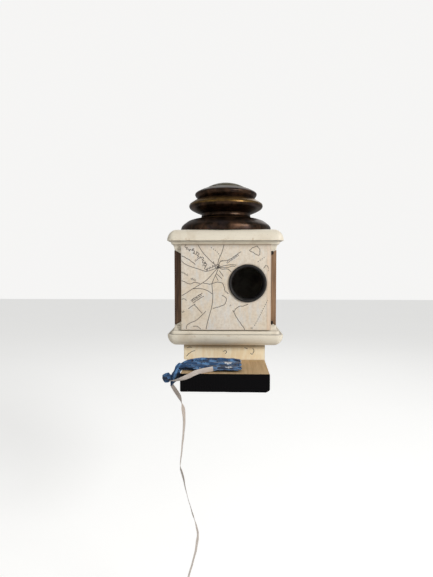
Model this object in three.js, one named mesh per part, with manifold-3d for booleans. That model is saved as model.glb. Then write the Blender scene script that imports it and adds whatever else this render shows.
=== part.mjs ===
// A craft birdhouse that hangs flat against a wall: a square wooden box between two moulded
// plaques, a hinged front panel with a pipe for its entrance, a turned metal finial on the roof,
// and a landing platform below, with a knotted cloth and a ribbon lying on it.
// Millimetres. X is right, Y goes into the wall (the front faces -Y), Z is up.
// y = 0 is the wall's plane and z = 0 is half-way up the box.

import * as THREE from 'three';
import { mergeVertices } from 'three/addons/utils/BufferGeometryUtils.js';
import Module from 'manifold-3d';

const wasm = await Module();
wasm.setup();

// Driving dimensions

const GLUE = 0.2; // what is left between two glued faces
const FIT = 0.3; // clearance all round a fastener, a pipe or a hinge
const BEYOND = 1; // how far a cutter runs past the face that it cuts

const BOX_HALF_WIDTH = 66;
const BOX_HALF_HEIGHT = 49.5;
const BOX_FRONT = -131.5;
const SIDE_THICKNESS = 10;
const BACK_THICKNESS = 12;
const WALL_SCREW_HOLE = { radius: 2.75, x: 30, z: 40 };

const FRAME_THICKNESS = 6;
const STILE_WIDTH = 11;
const RAIL_HEIGHT = 7;

const PLAQUE_THICKNESS = 26;
const PLAQUE_CORNER = 9;
const MOULDING = {
  roundRadius: 14, roundOut: 9.2, nose: 0.8, step: 5.2, fillet: 3.6, filletDrop: 19.2, coveDrop: 19.4,
};

const DOOR = {
  left: -56.6, right: 58.6, bottom: -54.4, top: 56, front: -137, back: -131.8, tongueBack: -135.5,
  bodyHalfHeight: 49,
};
const PAPER = 0.3;
const PIPE = { x: 29.1, z: 6, outer: 24.15, inner: 20.5, front: -140, length: 30, chamfer: 1.2 };

const HINGE = { x: 60.2, y: -134.5, heights: { top: 45, bottom: -45.2 } };
const EYE = { ring: 1.6, wire: 0.55, apart: 0.8, shank: 5 };
const HINGE_PIN = { radius: 0.9, headRadius: 1.5, headHeight: 0.8, halfLength: 2.4 };

const RISER = { left: -55, right: 52.5, front: -122.7, top: -75.5, bottom: -96.5 };
const PLATFORM = { left: -51, right: 52.6, front: -199.5, top: -96.5, bottom: -117.3 };

const FINIAL = { x: 0, y: -70, bore: 3.3, hollow: 30 };
const ROD = { radius: 3, bottom: 41, top: 135, socketTop: 136 };

const SCREW = { shank: 2, head: 4, headHeight: 2.6, point: 5, sunk: 0.6 };
const PLAQUE_SCREW = { length: 45, x: 61, ys: [-112, -20] };
const PLATFORM_SCREW = { length: 60, x: 36, ys: [-95, -30] };

const CLOTH = { left: -51.5, right: 20, front: -187, back: -139, top: -83.4 };
const KNOT = { centre: [-68.8, -183, -105.2], radius: 5.4, neckEnd: [-54.8, -175, -93.4], neck: 3.2 };
const RIBBON_RADIUS = 1.5;
const RIBBON_END_ROUTE = [
  [-62.4, -189.5, -107], [-58, -195.5, -105.6], [-50.2, -202.4, -102], [-40.2, -202.6, -98],
  [-33.1, -200.8, -94.7], [-24.1, -195.5, -93.5], [-13.1, -190.5, -92.4],
];
const RIBBON_TAIL_ROUTE = [
  [-63.2, -184, -112.8], [-58.3, -184, -120.6], [-52.7, -184, -130.4], [-48.6, -184.5, -145.7],
  [-48, -185, -161], [-49.2, -185, -176.3], [-51.6, -184.5, -199.4], [-52.7, -184, -212.4],
  [-49.8, -183.5, -225.5], [-45.7, -183, -245.5], [-39.6, -183, -267.3], [-32.8, -183.5, -290.7],
  [-32.2, -184, -299.9], [-34.3, -184.5, -315.7], [-38.3, -185, -331.5], [-43.7, -185, -350.4],
  [-48.2, -184.5, -364], [-50.4, -184, -375],
];

// Materials

function paint(color, roughness, metalness = 0) {
  return new THREE.MeshStandardMaterial({ color, roughness, metalness });
}

const CREAM = paint(0xe1d7c3, 0.6);
const BARE_WOOD = paint(0xc0a078, 0.75);
const STAINED_WOOD = paint(0x6a4a2c, 0.7);
const MAP_PAPER = paint(0xe4d8c0, 0.85);
const BLACK_PLASTIC = paint(0x141414, 0.35);
const BRONZE = paint(0x3a2a1c, 0.4, 0.85);
const WORN_BRASS = paint(0x6a5230, 0.35, 0.9);
const STEEL = paint(0x9a9a98, 0.4, 0.9);
const DARK_STEEL = paint(0x2a2624, 0.5, 0.8);
const BLUE_CLOTH = paint(0x3c6ea8, 0.9);
const RIBBON = paint(0xb4a89a, 0.6);

// From three.js geometry to a solid that can be cut, and back

function solid(geometry) {
  const bare = geometry.clone();
  bare.deleteAttribute('normal');
  bare.deleteAttribute('uv');
  const merged = mergeVertices(bare, 1e-4);
  return new wasm.Manifold(new wasm.Mesh({
    numProp: 3,
    vertProperties: new Float32Array(merged.attributes.position.array),
    triVerts: new Uint32Array(merged.index.array),
  }));
}

function geometryOf(shape) {
  const { vertProperties, triVerts } = shape.getMesh();
  const geometry = new THREE.BufferGeometry();
  geometry.setAttribute('position', new THREE.BufferAttribute(vertProperties, 3));
  geometry.setIndex(new THREE.BufferAttribute(triVerts, 1));
  geometry.computeVertexNormals();
  return geometry;
}

function cut(body, cutters) {
  return cutters.reduce((left, cutter) => left.subtract(solid(cutter)), solid(body));
}

const birdhouse = new THREE.Group();

function add(name, shape, material) {
  const geometry = shape instanceof THREE.BufferGeometry ? shape : geometryOf(shape);
  const mesh = new THREE.Mesh(geometry, material.clone());
  mesh.name = name;
  birdhouse.add(mesh);
}

// Shapes that several pieces share

function block(x0, x1, y0, y1, z0, z1) {
  const box = new THREE.BoxGeometry(x1 - x0, y1 - y0, z1 - z0);
  return box.translate((x0 + x1) / 2, (y0 + y1) / 2, (z0 + z1) / 2);
}

function upright(radius, z0, z1, sides = 24) {
  return new THREE.CylinderGeometry(radius, radius, z1 - z0, sides)
    .rotateX(Math.PI / 2).translate(0, 0, (z0 + z1) / 2);
}

function outline(points) {
  return new THREE.Shape(points.map(([u, v]) => new THREE.Vector2(u, v)));
}

const TO_FRONT = new THREE.Matrix4().makeBasis(
  new THREE.Vector3(1, 0, 0), new THREE.Vector3(0, 0, 1), new THREE.Vector3(0, -1, 0),
);
const ALONG_X = new THREE.Matrix4().makeBasis(
  new THREE.Vector3(0, 1, 0), new THREE.Vector3(0, 0, 1), new THREE.Vector3(1, 0, 0),
);

function extrude(shape, depth) {
  return new THREE.ExtrudeGeometry(shape, { depth, bevelEnabled: false, curveSegments: 24 });
}

// A board cut to an outline seen from the front, (x, z), between two values of y.
function frontBoard(shape, front, back) {
  return extrude(shape, back - front).applyMatrix4(TO_FRONT).translate(0, back, 0);
}

// A turned piece from a profile of (radius, height) that closes on itself round a bore.
function turned(profile, segments = 40) {
  const points = profile.map(([r, z]) => new THREE.Vector2(r, z));
  points.push(points[0].clone());
  return new THREE.LatheGeometry(points, segments).rotateX(Math.PI / 2);
}

// Wood screws with countersunk heads. Each is drawn point up, with its head's face at z = 0.

function screwShape(length, grow = 0) {
  const { shank, head, headHeight, point } = SCREW;
  const bottom = grow > 0 ? -BEYOND : 0;
  const profile = [
    [0, bottom], [head + grow, bottom], [head + grow, grow / 2], [shank + grow, headHeight + grow / 2],
    [shank + grow, length - point], [0, length + grow],
  ];
  return new THREE.LatheGeometry(profile.map(([r, z]) => new THREE.Vector2(r, z)), 16)
    .rotateX(Math.PI / 2);
}

// Where every screw of a set goes: its name, and what turns a drawn screw into place.
function screwSet(prefix, { length, x, ys }, faceZ, up) {
  const places = [];
  for (const [row, y] of [['front', ys[0]], ['rear', ys[1]]]) {
    for (const [side, sign] of [['left', -1], ['right', 1]]) {
      const place = (shape) => {
        if (!up) shape.rotateX(Math.PI);
        return shape.translate(sign * x, y, faceZ + (up ? SCREW.sunk : -SCREW.sunk));
      };
      places.push({ name: `${prefix}_${row}_${side}`, length, place });
    }
  }
  return places;
}

const screwHole = ({ length, place }) => place(screwShape(length, FIT));

const ROOF_TOP = BOX_HALF_HEIGHT + PLAQUE_THICKNESS;
const roofScrews = screwSet('roof_screw', PLAQUE_SCREW, ROOF_TOP, false);
const floorScrews = screwSet('floor_screw', PLAQUE_SCREW, -ROOF_TOP, true);
const platformScrews = screwSet('platform_screw', PLATFORM_SCREW, PLATFORM.bottom, true);

// The box

function rodHole(radius) {
  return upright(radius, ROD.bottom - BEYOND, ROD.top + BEYOND).translate(FINIAL.x, FINIAL.y, 0);
}

function addWalls() {
  const half = BOX_HALF_HEIGHT - GLUE;
  const inner = BOX_HALF_WIDTH - SIDE_THICKNESS;
  const front = BOX_FRONT + FRAME_THICKNESS + GLUE;
  const holes = [...roofScrews, ...floorScrews].map(screwHole);
  add('left_wall', cut(block(-BOX_HALF_WIDTH, -inner, front, 0, -half, half), holes), CREAM);
  add('right_wall', cut(block(inner, BOX_HALF_WIDTH, front, 0, -half, half), holes), CREAM);

  const { radius, x, z } = WALL_SCREW_HOLE;
  const throughHoles = [-x, x].map((place) => (
    new THREE.CylinderGeometry(radius, radius, BACK_THICKNESS + 2 * BEYOND, 24)
      .translate(place, -BACK_THICKNESS / 2, z)
  ));
  const back = block(-inner + GLUE, inner - GLUE, -BACK_THICKNESS, 0, -half, half);
  add('back_wall', cut(back, throughHoles), CREAM);
}

// In both hinges the frame's eye is on the side nearer the middle of the door.
const frameEyeHeight = (z) => z - Math.sign(z) * EYE.apart;
const doorEyeHeight = (z) => z + Math.sign(z) * EYE.apart;

// The mitred frame round the doorway, on the front edges of the box.
function addFaceFrame() {
  const back = BOX_FRONT + FRAME_THICKNESS;
  const innerX = BOX_HALF_WIDTH - STILE_WIDTH;
  const innerZ = BOX_HALF_HEIGHT - RAIL_HEIGHT;
  const outerZ = BOX_HALF_HEIGHT - GLUE;
  for (const [name, sign] of [['frame_rail_top', 1], ['frame_rail_bottom', -1]]) {
    const rail = outline([
      [-BOX_HALF_WIDTH + FIT, sign * outerZ], [BOX_HALF_WIDTH - FIT, sign * outerZ],
      [innerX, sign * innerZ], [-innerX, sign * innerZ],
    ]);
    add(name, frontBoard(rail, BOX_FRONT, back), CREAM);
  }
  const pinHoles = Object.values(HINGE.heights).map((z) => (
    new THREE.CylinderGeometry(EYE.wire + FIT, EYE.wire + FIT, EYE.shank + FIT, 12)
      .translate(HINGE.x, HINGE.y + EYE.ring + (EYE.shank + FIT) / 2, frameEyeHeight(z))
  ));
  for (const [name, sign] of [['frame_stile_left', -1], ['frame_stile_right', 1]]) {
    const stile = outline([
      [sign * BOX_HALF_WIDTH, outerZ - 2 * FIT], [sign * BOX_HALF_WIDTH, -outerZ + 2 * FIT],
      [sign * innerX, -innerZ + FIT], [sign * innerX, innerZ - FIT],
    ]);
    add(name, cut(frontBoard(stile, BOX_FRONT, back), pinHoles), STAINED_WOOD);
  }
}

// The moulded edge of a plaque, as (out from the box's wall, down from the plaque's outer face):
// a quarter round, a small nose, a step back, a sloping fillet and a cove that runs into the wall.
function mouldedEdge() {
  const { roundRadius, roundOut, nose, step, fillet, filletDrop, coveDrop } = MOULDING;
  const edge = new THREE.Path();
  edge.moveTo(roundOut - roundRadius, 0);
  edge.absarc(roundOut - roundRadius, roundRadius, roundRadius, -Math.PI / 2, 0, false);
  edge.lineTo(roundOut, roundRadius + nose);
  edge.lineTo(step, roundRadius + 1.5 * nose);
  edge.lineTo(fillet, filletDrop);
  edge.lineTo(fillet - 0.2, coveDrop);
  edge.quadraticCurveTo(0.2, coveDrop + 1, 0, PLAQUE_THICKNESS);
  return edge.getPoints(5);
}

// A plaque: its moulding runs round the front and both sides, and its back is flat.
function plaque(up) {
  const edge = mouldedEdge();
  const height = (drop) => up * (ROOF_TOP - drop);
  const right = edge.map(({ x, y }) => [BOX_HALF_WIDTH + x, height(y)]);
  const left = edge.map(({ x, y }) => [-BOX_HALF_WIDTH - x, height(y)]).reverse();
  const front = edge.map(({ x, y }) => [BOX_FRONT - x, height(y)]);
  const tipX = BOX_HALF_WIDTH + MOULDING.roundOut;
  const tipY = -BOX_FRONT + MOULDING.roundOut;

  const across = frontBoard(outline([...right, ...left]), -tipY - BEYOND, 0);
  const lengthways = extrude(outline([[0, height(0)], ...front, [0, height(PLAQUE_THICKNESS)]]), 2 * tipX + 2)
    .applyMatrix4(ALONG_X).translate(-tipX - 1, 0, 0);

  const plan = new THREE.Shape();
  plan.moveTo(-tipX, 0);
  plan.lineTo(-tipX, -tipY + PLAQUE_CORNER);
  plan.absarc(-tipX + PLAQUE_CORNER, -tipY + PLAQUE_CORNER, PLAQUE_CORNER, Math.PI, 1.5 * Math.PI, false);
  plan.lineTo(tipX - PLAQUE_CORNER, -tipY);
  plan.absarc(tipX - PLAQUE_CORNER, -tipY + PLAQUE_CORNER, PLAQUE_CORNER, -Math.PI / 2, 0, false);
  plan.lineTo(tipX, 0);
  const rounded = new THREE.ExtrudeGeometry(plan, {
    depth: 2 * ROOF_TOP + 2, bevelEnabled: false, curveSegments: 6,
  }).translate(0, 0, -ROOF_TOP - 1);

  return solid(across).intersect(solid(lengthways)).intersect(solid(rounded));
}

function addPlaques() {
  const roof = [...roofScrews.map(screwHole), rodHole(ROD.radius + FIT)];
  add('roof_plaque', roof.reduce((left, hole) => left.subtract(solid(hole)), plaque(1)), CREAM);
  const floor = [...floorScrews, ...platformScrews].map(screwHole);
  add('floor_plaque', floor.reduce((left, hole) => left.subtract(solid(hole)), plaque(-1)), CREAM);
}

// The door: a panel that overlays the face frame, its map paper and its entrance pipe

function doorOutline(bottom, top) {
  const shape = outline([[DOOR.left, bottom], [DOOR.right, bottom], [DOOR.right, top], [DOOR.left, top]]);
  const hole = new THREE.Path();
  hole.absarc(PIPE.x, PIPE.z, PIPE.outer + GLUE, 0, 2 * Math.PI, true);
  shape.holes.push(hole);
  return shape;
}

function addDoor() {
  const notches = Object.values(HINGE.heights).map((z) => (
    upright(EYE.ring + EYE.wire + FIT, z - HINGE_PIN.halfLength - FIT, z + HINGE_PIN.halfLength + FIT)
      .translate(HINGE.x, HINGE.y, 0)
  ));
  const eyeHoles = Object.values(HINGE.heights).map((z) => (
    new THREE.CylinderGeometry(EYE.wire + FIT, EYE.wire + FIT, EYE.shank + FIT, 12)
      .rotateZ(Math.PI / 2).translate(HINGE.x - EYE.ring - (EYE.shank + FIT) / 2, HINGE.y, doorEyeHeight(z))
  ));
  const body = frontBoard(doorOutline(-DOOR.bodyHalfHeight, DOOR.bodyHalfHeight), DOOR.front, DOOR.back);
  const tongues = frontBoard(doorOutline(DOOR.bottom, DOOR.top), DOOR.front, DOOR.tongueBack);
  const cutters = [...notches, ...eyeHoles].map(solid);
  const panel = cutters.reduce((left, cutter) => left.subtract(cutter), solid(body).add(solid(tongues)));
  add('door_panel', panel, CREAM);

  const sheetBack = DOOR.front - GLUE / 2;
  const sheet = frontBoard(doorOutline(DOOR.bottom, DOOR.top), sheetBack - PAPER, sheetBack);
  add('door_map_paper', cut(sheet, notches), MAP_PAPER);
}

function addPipe() {
  const { x, z, outer, inner, front, length, chamfer } = PIPE;
  const rear = front + length;
  const wall = new THREE.LatheGeometry([
    [inner, front + chamfer], [inner + chamfer, front], [outer - chamfer, front], [outer, front + chamfer],
    [outer, rear], [inner, rear], [inner, front + chamfer],
  ].map(([r, y]) => new THREE.Vector2(r, y)), 48);
  add('entrance_pipe', wall.translate(x, 0, z), BLACK_PLASTIC);
}

// Each hinge is two wire eyes, one in the right stile and one in the door's edge, with a pin
// through both.

function wireEye(direction, z) {
  const ring = new THREE.TorusGeometry(EYE.ring, EYE.wire, 8, 20);
  const shank = new THREE.CylinderGeometry(EYE.wire, EYE.wire, EYE.shank, 8);
  if (direction === 'left') shank.rotateZ(Math.PI / 2);
  const reach = EYE.ring + EYE.shank / 2;
  shank.translate(direction === 'left' ? -reach : 0, direction === 'left' ? 0 : reach, 0);
  return geometryOf(solid(ring).add(solid(shank))).translate(HINGE.x, HINGE.y, z);
}

function addHinges() {
  const { radius, headRadius, headHeight, halfLength } = HINGE_PIN;
  for (const [level, z] of Object.entries(HINGE.heights)) {
    add(`hinge_${level}_frame_eye`, wireEye('back', frameEyeHeight(z)), DARK_STEEL);
    add(`hinge_${level}_door_eye`, wireEye('left', doorEyeHeight(z)), DARK_STEEL);
    const pin = new THREE.LatheGeometry([
      [0, -halfLength], [radius, -halfLength], [radius, halfLength - headHeight],
      [headRadius, halfLength - headHeight], [headRadius, halfLength], [0, halfLength],
    ].map(([r, height]) => new THREE.Vector2(r, height)), 16).rotateX(Math.PI / 2);
    add(`hinge_${level}_pin`, pin.translate(HINGE.x, HINGE.y, z), DARK_STEEL);
  }
}

// Below the box: the riser block with its map paper, and the landing platform

function addPlatform() {
  const holes = platformScrews.map(screwHole);
  const { left, right, front, top, bottom } = RISER;
  add('riser_block', cut(block(left, right, front, 0, bottom + GLUE, top - GLUE), holes), CREAM);
  const sheetBack = front - GLUE / 2;
  const sheet = block(left, right, sheetBack - PAPER, sheetBack, bottom + GLUE, top - GLUE);
  add('riser_map_paper', sheet, MAP_PAPER);
  const board = block(PLATFORM.left, PLATFORM.right, PLATFORM.front, 0, PLATFORM.bottom, PLATFORM.top);
  add('platform_board', cut(board, holes), BARE_WOOD);
}

function addScrews() {
  for (const { name, length, place } of [...roofScrews, ...floorScrews, ...platformScrews]) {
    add(name, place(screwShape(length)), STEEL);
  }
}

// The finial: four turned pieces on one threaded rod that a nut and washer hold inside the box.
// They are hollow castings: the base and the cap are open below, and the ring disc above.

function addFinial() {
  const { x, y, bore, hollow } = FINIAL;
  const roof = ROOF_TOP + GLUE;
  const pieces = {
    finial_base: [[61.4, roof], [64.4, roof], [64.4, 83], [64, 85.5], [61.6, 88.2], [56, 91.8],
      [47.5, 94.2], [40, 95.8], [35.3, 97.6], [bore, 97.6], [bore, 94.6], [hollow, 94.6], [57, 86.4],
      [61.4, 81.6]],
    finial_neck: [[hollow, 97.8], [35.3, 97.8], [34.7, 100.4], [35.6, 103], [hollow, 103]],
    finial_ring_disc: [[bore, 103.2], [38.4, 103.2], [42.8, 105], [48.6, 107.9], [51.7, 110.7],
      [52.3, 112.4], [52.3, 113.8], [51.2, 116.4], [47.3, 119.2], [42.6, 122.1], [40, 123.7],
      [37, 123.7], [37, 121], [48, 114], [37, 106.3], [bore, 106.3]],
    finial_cap: [[37, 123.9], [40.2, 123.9], [43.2, 127.4], [43.9, 129.4], [43.4, 131], [39.5, 133.8],
      [34.2, 136.2], [27.9, 138.8], [19.5, 141.9], [11, 144.5], [4, 146.2], [0, 146.7],
      [0, ROD.socketTop], [bore, ROD.socketTop], [bore, 130], [8, 130], [8, 139], [37, 129.6]],
  };
  for (const [name, profile] of Object.entries(pieces)) {
    add(name, turned(profile).translate(x, y, 0), name === 'finial_ring_disc' ? WORN_BRASS : BRONZE);
  }

  add('finial_rod', upright(ROD.radius, ROD.bottom, ROD.top).translate(x, y, 0), STEEL);
  const under = BOX_HALF_HEIGHT - GLUE;
  const washer = turned([[bore, under - 1.4], [9, under - 1.4], [9, under], [bore, under]], 24);
  add('rod_washer', washer.translate(x, y, 0), STEEL);
  const nut = new THREE.CylinderGeometry(5.8, 5.8, 4.8, 6).rotateX(Math.PI / 2)
    .translate(x, y, under - 1.4 - GLUE - 2.4);
  add('rod_nut', cut(nut, [rodHole(bore)]), STEEL);
}

// Plain solids for the soft goods: the folded cloth, its knot, and the ribbon tied through it

function addCloth() {
  const { left, right, front, back, top } = CLOTH;
  const bottom = PLATFORM.top + FIT;
  const round = (top - bottom) / 2;
  const folded = new THREE.Shape();
  folded.moveTo(left, bottom);
  folded.lineTo(right - round, bottom);
  folded.absarc(right - round, bottom + round, round, -Math.PI / 2, Math.PI / 2, false);
  folded.lineTo(left + round, top);
  folded.quadraticCurveTo(left, top, left, bottom + round);
  const loop = new THREE.ExtrudeGeometry(folded, {
    depth: back - front, bevelEnabled: false, curveSegments: 8,
  });
  add('cloth_loop', loop.applyMatrix4(TO_FRONT).translate(0, back, 0), BLUE_CLOTH);

  const centre = new THREE.Vector3(...KNOT.centre);
  const toLoop = new THREE.Vector3(...KNOT.neckEnd).sub(centre);
  const reach = toLoop.length();
  const profile = new THREE.Path();
  profile.moveTo(0, -KNOT.radius);
  profile.absarc(0, 0, KNOT.radius, -Math.PI / 2, Math.PI / 4, false);
  profile.lineTo(KNOT.neck, 1.3 * KNOT.radius);
  profile.lineTo(1.3 * KNOT.neck, reach);
  profile.lineTo(0, reach);
  const knot = new THREE.LatheGeometry(profile.getPoints(8), 16);
  knot.applyQuaternion(new THREE.Quaternion().setFromUnitVectors(
    new THREE.Vector3(0, 1, 0), toLoop.normalize(),
  ));
  add('cloth_knot', knot.translate(centre.x, centre.y, centre.z), BLUE_CLOTH);
}

function addRibbon(name, route, steps) {
  const path = new THREE.CatmullRomCurve3(route.map((place) => new THREE.Vector3(...place)));
  const section = new THREE.Shape();
  for (let side = 0; side < 8; side += 1) {
    const angle = (side * Math.PI) / 4;
    const [u, v] = [RIBBON_RADIUS * Math.cos(angle), RIBBON_RADIUS * Math.sin(angle)];
    if (side === 0) section.moveTo(u, v);
    else section.lineTo(u, v);
  }
  section.closePath();
  add(name, new THREE.ExtrudeGeometry(section, { steps, extrudePath: path }), RIBBON);
}

addPlaques();
addWalls();
addFaceFrame();
addDoor();
addPipe();
addHinges();
addPlatform();
addScrews();
addFinial();
addCloth();
addRibbon('ribbon_end', RIBBON_END_ROUTE, 12);
addRibbon('ribbon_tail', RIBBON_TAIL_ROUTE, 48);

export default birdhouse;
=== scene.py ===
"""A wall-hung craft birdhouse, finished round its CAD frame.

Everything is in metres in the frame's own axes: X right, Y into the wall, Z up, and the front faces -Y.
Numbers given in the code are in millimetres and pass through MM or mm().
"""

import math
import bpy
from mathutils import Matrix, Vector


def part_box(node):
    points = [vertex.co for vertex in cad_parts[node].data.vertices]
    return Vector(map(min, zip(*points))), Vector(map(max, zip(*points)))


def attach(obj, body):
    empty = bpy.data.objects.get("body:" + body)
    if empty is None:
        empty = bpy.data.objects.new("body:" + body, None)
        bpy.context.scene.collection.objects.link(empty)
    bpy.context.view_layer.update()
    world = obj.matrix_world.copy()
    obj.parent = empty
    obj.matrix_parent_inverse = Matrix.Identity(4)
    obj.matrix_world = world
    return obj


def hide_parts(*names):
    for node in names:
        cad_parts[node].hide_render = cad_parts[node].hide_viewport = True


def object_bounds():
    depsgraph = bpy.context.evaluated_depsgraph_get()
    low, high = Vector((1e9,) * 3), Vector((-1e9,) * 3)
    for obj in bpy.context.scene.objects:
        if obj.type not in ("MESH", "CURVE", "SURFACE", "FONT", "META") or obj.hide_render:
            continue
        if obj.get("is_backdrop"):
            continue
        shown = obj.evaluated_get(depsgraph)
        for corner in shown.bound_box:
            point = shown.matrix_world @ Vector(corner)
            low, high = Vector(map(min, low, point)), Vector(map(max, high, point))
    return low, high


bl_info = {
    "name": "Craft Birdhouse",
    "version": (1, 0, 0),
    "blender": (4, 5, 0),
    "location": "3D View > Sidebar > Birdhouse",
    "description": "Finishes a wall-hung birdhouse with moulded plaques, map paper, a finial, cloth and ribbon",
    "category": "Add Mesh",
}

import bmesh
import bpy
import numpy as np
from bpy.props import FloatProperty, FloatVectorProperty, PointerProperty
from mathutils import Matrix, Quaternion, Vector, noise
from mathutils.bvhtree import BVHTree

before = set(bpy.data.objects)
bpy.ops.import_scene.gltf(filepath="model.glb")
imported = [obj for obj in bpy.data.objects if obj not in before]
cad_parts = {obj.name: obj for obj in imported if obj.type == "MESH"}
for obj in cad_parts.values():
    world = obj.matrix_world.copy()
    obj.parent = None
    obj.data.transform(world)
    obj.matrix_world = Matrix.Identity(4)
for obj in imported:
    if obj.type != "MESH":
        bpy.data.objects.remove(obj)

MM = 0.001
CAD_LOW, CAD_HIGH = (Vector(corner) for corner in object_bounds())


def mm(*place):
    return Vector(place) * MM


def span(node):
    """A node's lowest and highest corners."""
    low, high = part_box(node)
    return Vector(low), Vector(high)


# Sizes and colours that a user would change


def length(name, description, default_mm):
    return FloatProperty(
        name=name, description=description, default=default_mm * MM, min=0, unit="LENGTH", precision=5
    )


def colour(name, description, red, green, blue):
    linear = [(c / 255 / 12.92 if c < 11 else ((c / 255 + 0.055) / 1.055) ** 2.4) for c in (red, green, blue)]
    return FloatVectorProperty(name=name, description=description, default=linear, min=0, max=1, subtype="COLOR")


class BirdhouseSizes(bpy.types.PropertyGroup):
    eased_edge: length("Eased edge", "Radius of the sanded edges of the boards", 0.7)
    paper_relief: length("Paper relief", "Height of the bubbles and creases in the glued paper", 0.35)
    ink_width: length("Ink width", "Width of the widest roads on the map", 0.75)
    ink_lift: length("Ink lift", "How far a printed line stands on its paper", 0.03)
    thread_pitch: length("Thread pitch", "Pitch of the wood screws' threads", 2.2)
    ribbon_width: length("Ribbon width", "Width of the satin ribbon", 6)
    ribbon_thickness: length("Ribbon thickness", "Thickness of the satin ribbon", 0.35)
    cloth_width: length("Cloth width", "Width of the strip of cloth before it is gathered", 49)
    cloth_thickness: length("Cloth thickness", "Thickness of the cotton", 0.45)
    saw_mark: length("Saw mark", "Depth of the saw marks in the platform's front end", 0.35)


class BirdhouseColours(bpy.types.PropertyGroup):
    cream: colour("Cream", "Painted plaques and box", 235, 226, 207)
    stain: colour("Stain", "Age stains in the paint", 176, 146, 104)
    # The dark stile colour also stands for the painted shade on the left stile, and the light one for the painted light
    # on the right stile
    stile_dark: colour("Dark stile", "Stained strip beside the door, in its dark streaks", 66, 40, 20)
    stile_light: colour("Light stile", "Stained strip beside the door, where it is worn", 176, 138, 102)
    board_light: colour("Light board", "Bare wood of the platform", 212, 184, 144)
    board_dark: colour("Dark board", "Darker grain of the platform", 184, 152, 112)
    end_paint: colour("End paint", "Black paint on the platform's front end", 6, 5, 7)
    paper: colour("Paper", "Map paper on the door", 232, 220, 204)
    paper_aged: colour("Aged paper", "Yellowed parts of the map paper", 216, 194, 158)
    ink: colour("Ink", "Printed lines of the map", 44, 38, 36)
    plastic: colour("Plastic", "Pipe at the entrance", 16, 15, 15)
    bronze: colour("Bronze", "Patina of the finial", 40, 30, 22)
    brass: colour("Brass", "Worn metal of the finial's rim", 136, 104, 50)
    verdigris: colour("Verdigris", "Greenish top of the finial", 86, 82, 56)
    cloth: colour("Cloth", "Blue cotton", 30, 70, 112)
    cloth_faded: colour("Faded cloth", "Faded patches of the cotton", 90, 138, 188)
    cloth_dark: colour("Dark cloth", "Deep blue of the cotton's pattern", 10, 28, 56)
    print_white: colour("White print", "Flowers printed on the cotton", 226, 228, 228)
    ribbon: colour("Ribbon", "Satin ribbon", 196, 184, 174)


def sizes():
    return bpy.context.scene.birdhouse_sizes


def colours():
    return bpy.context.scene.birdhouse_colours


# Meshes


def new_piece(name, points, faces, material, smooth=True):
    mesh = bpy.data.meshes.new(name)
    mesh.from_pydata([tuple(p) for p in points], [], faces)
    mesh.validate()
    piece = bpy.data.objects.new(name, mesh)
    bpy.context.scene.collection.objects.link(piece)
    mesh.materials.append(material)
    if smooth:
        mesh.shade_smooth()
    return piece


def applied(piece):
    """The piece with its modifiers made part of its mesh."""
    graph = bpy.context.evaluated_depsgraph_get()
    graph.update()
    mesh = bpy.data.meshes.new_from_object(piece.evaluated_get(graph), depsgraph=graph)
    mesh.name = piece.name
    old = piece.data
    piece.modifiers.clear()
    if piece.type == "MESH":
        piece.data = mesh
        bpy.data.meshes.remove(old)
        return piece
    made = bpy.data.objects.new(piece.name, mesh)
    bpy.context.scene.collection.objects.link(made)
    name = piece.name
    bpy.data.objects.remove(piece)
    made.name = name
    return made


def out_facing(piece):
    shape = bmesh.new()
    shape.from_mesh(piece.data)
    bmesh.ops.remove_doubles(shape, verts=shape.verts, dist=1e-6)
    bmesh.ops.recalc_face_normals(shape, faces=shape.faces)
    shape.to_mesh(piece.data)
    shape.free()
    return piece


def crisp(piece, degrees=35):
    """Smooth shading with the edges sharper than an angle kept sharp."""
    piece.data.shade_smooth()
    piece.data.set_sharp_from_angle(angle=math.radians(degrees))
    return piece


def bevelled(piece, width, segments=3, degrees=30):
    bevel = piece.modifiers.new("eased", "BEVEL")
    bevel.width, bevel.segments = width, segments
    bevel.limit_method, bevel.angle_limit = "ANGLE", math.radians(degrees)
    bevel.harden_normals = False
    return applied(piece)


def carved(piece, cutters):
    for cutter in cutters:
        cut = piece.modifiers.new("cut", "BOOLEAN")
        cut.operation, cut.solver, cut.object = "DIFFERENCE", "EXACT", cutter
    piece = applied(piece)
    for cutter in cutters:
        bpy.data.objects.remove(cutter)
    return piece


def cylinder(name, radius, bottom, top, centre, material, segments=48):
    """A plain upright cylinder between two heights, used to cut with."""
    ring = [(radius * math.cos(a), radius * math.sin(a)) for a in np.linspace(0, math.tau, segments, False)]
    points = [(centre[0] + x, centre[1] + y, z) for z in (bottom, top) for x, y in ring]
    faces = [tuple(reversed(range(segments))), tuple(range(segments, 2 * segments))]
    faces += [(i, (i + 1) % segments, segments + (i + 1) % segments, segments + i) for i in range(segments)]
    return new_piece(name, points, faces, material, smooth=False)


def stand_for(piece, body, *nodes, slot=None):
    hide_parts(*nodes)
    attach(piece, body)
    return piece


def eased_board(node, body, material, slot, width=None, name=None):
    """A copy of a CAD board with its flat faces whole and its edges eased."""
    piece = bpy.data.objects.new(name or f"{node}_board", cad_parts[node].data.copy())
    bpy.context.scene.collection.objects.link(piece)
    shape = bmesh.new()
    shape.from_mesh(piece.data)
    bmesh.ops.remove_doubles(shape, verts=shape.verts, dist=2e-6)
    bmesh.ops.dissolve_limit(
        shape, angle_limit=math.radians(2), verts=shape.verts, edges=shape.edges, use_dissolve_boundaries=False
    )
    shape.to_mesh(piece.data)
    shape.free()
    piece.data.materials.clear()
    piece.data.materials.append(material)
    piece = bevelled(piece, width or sizes().eased_edge)
    return stand_for(crisp(piece, 40), body, node, slot=slot)


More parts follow.
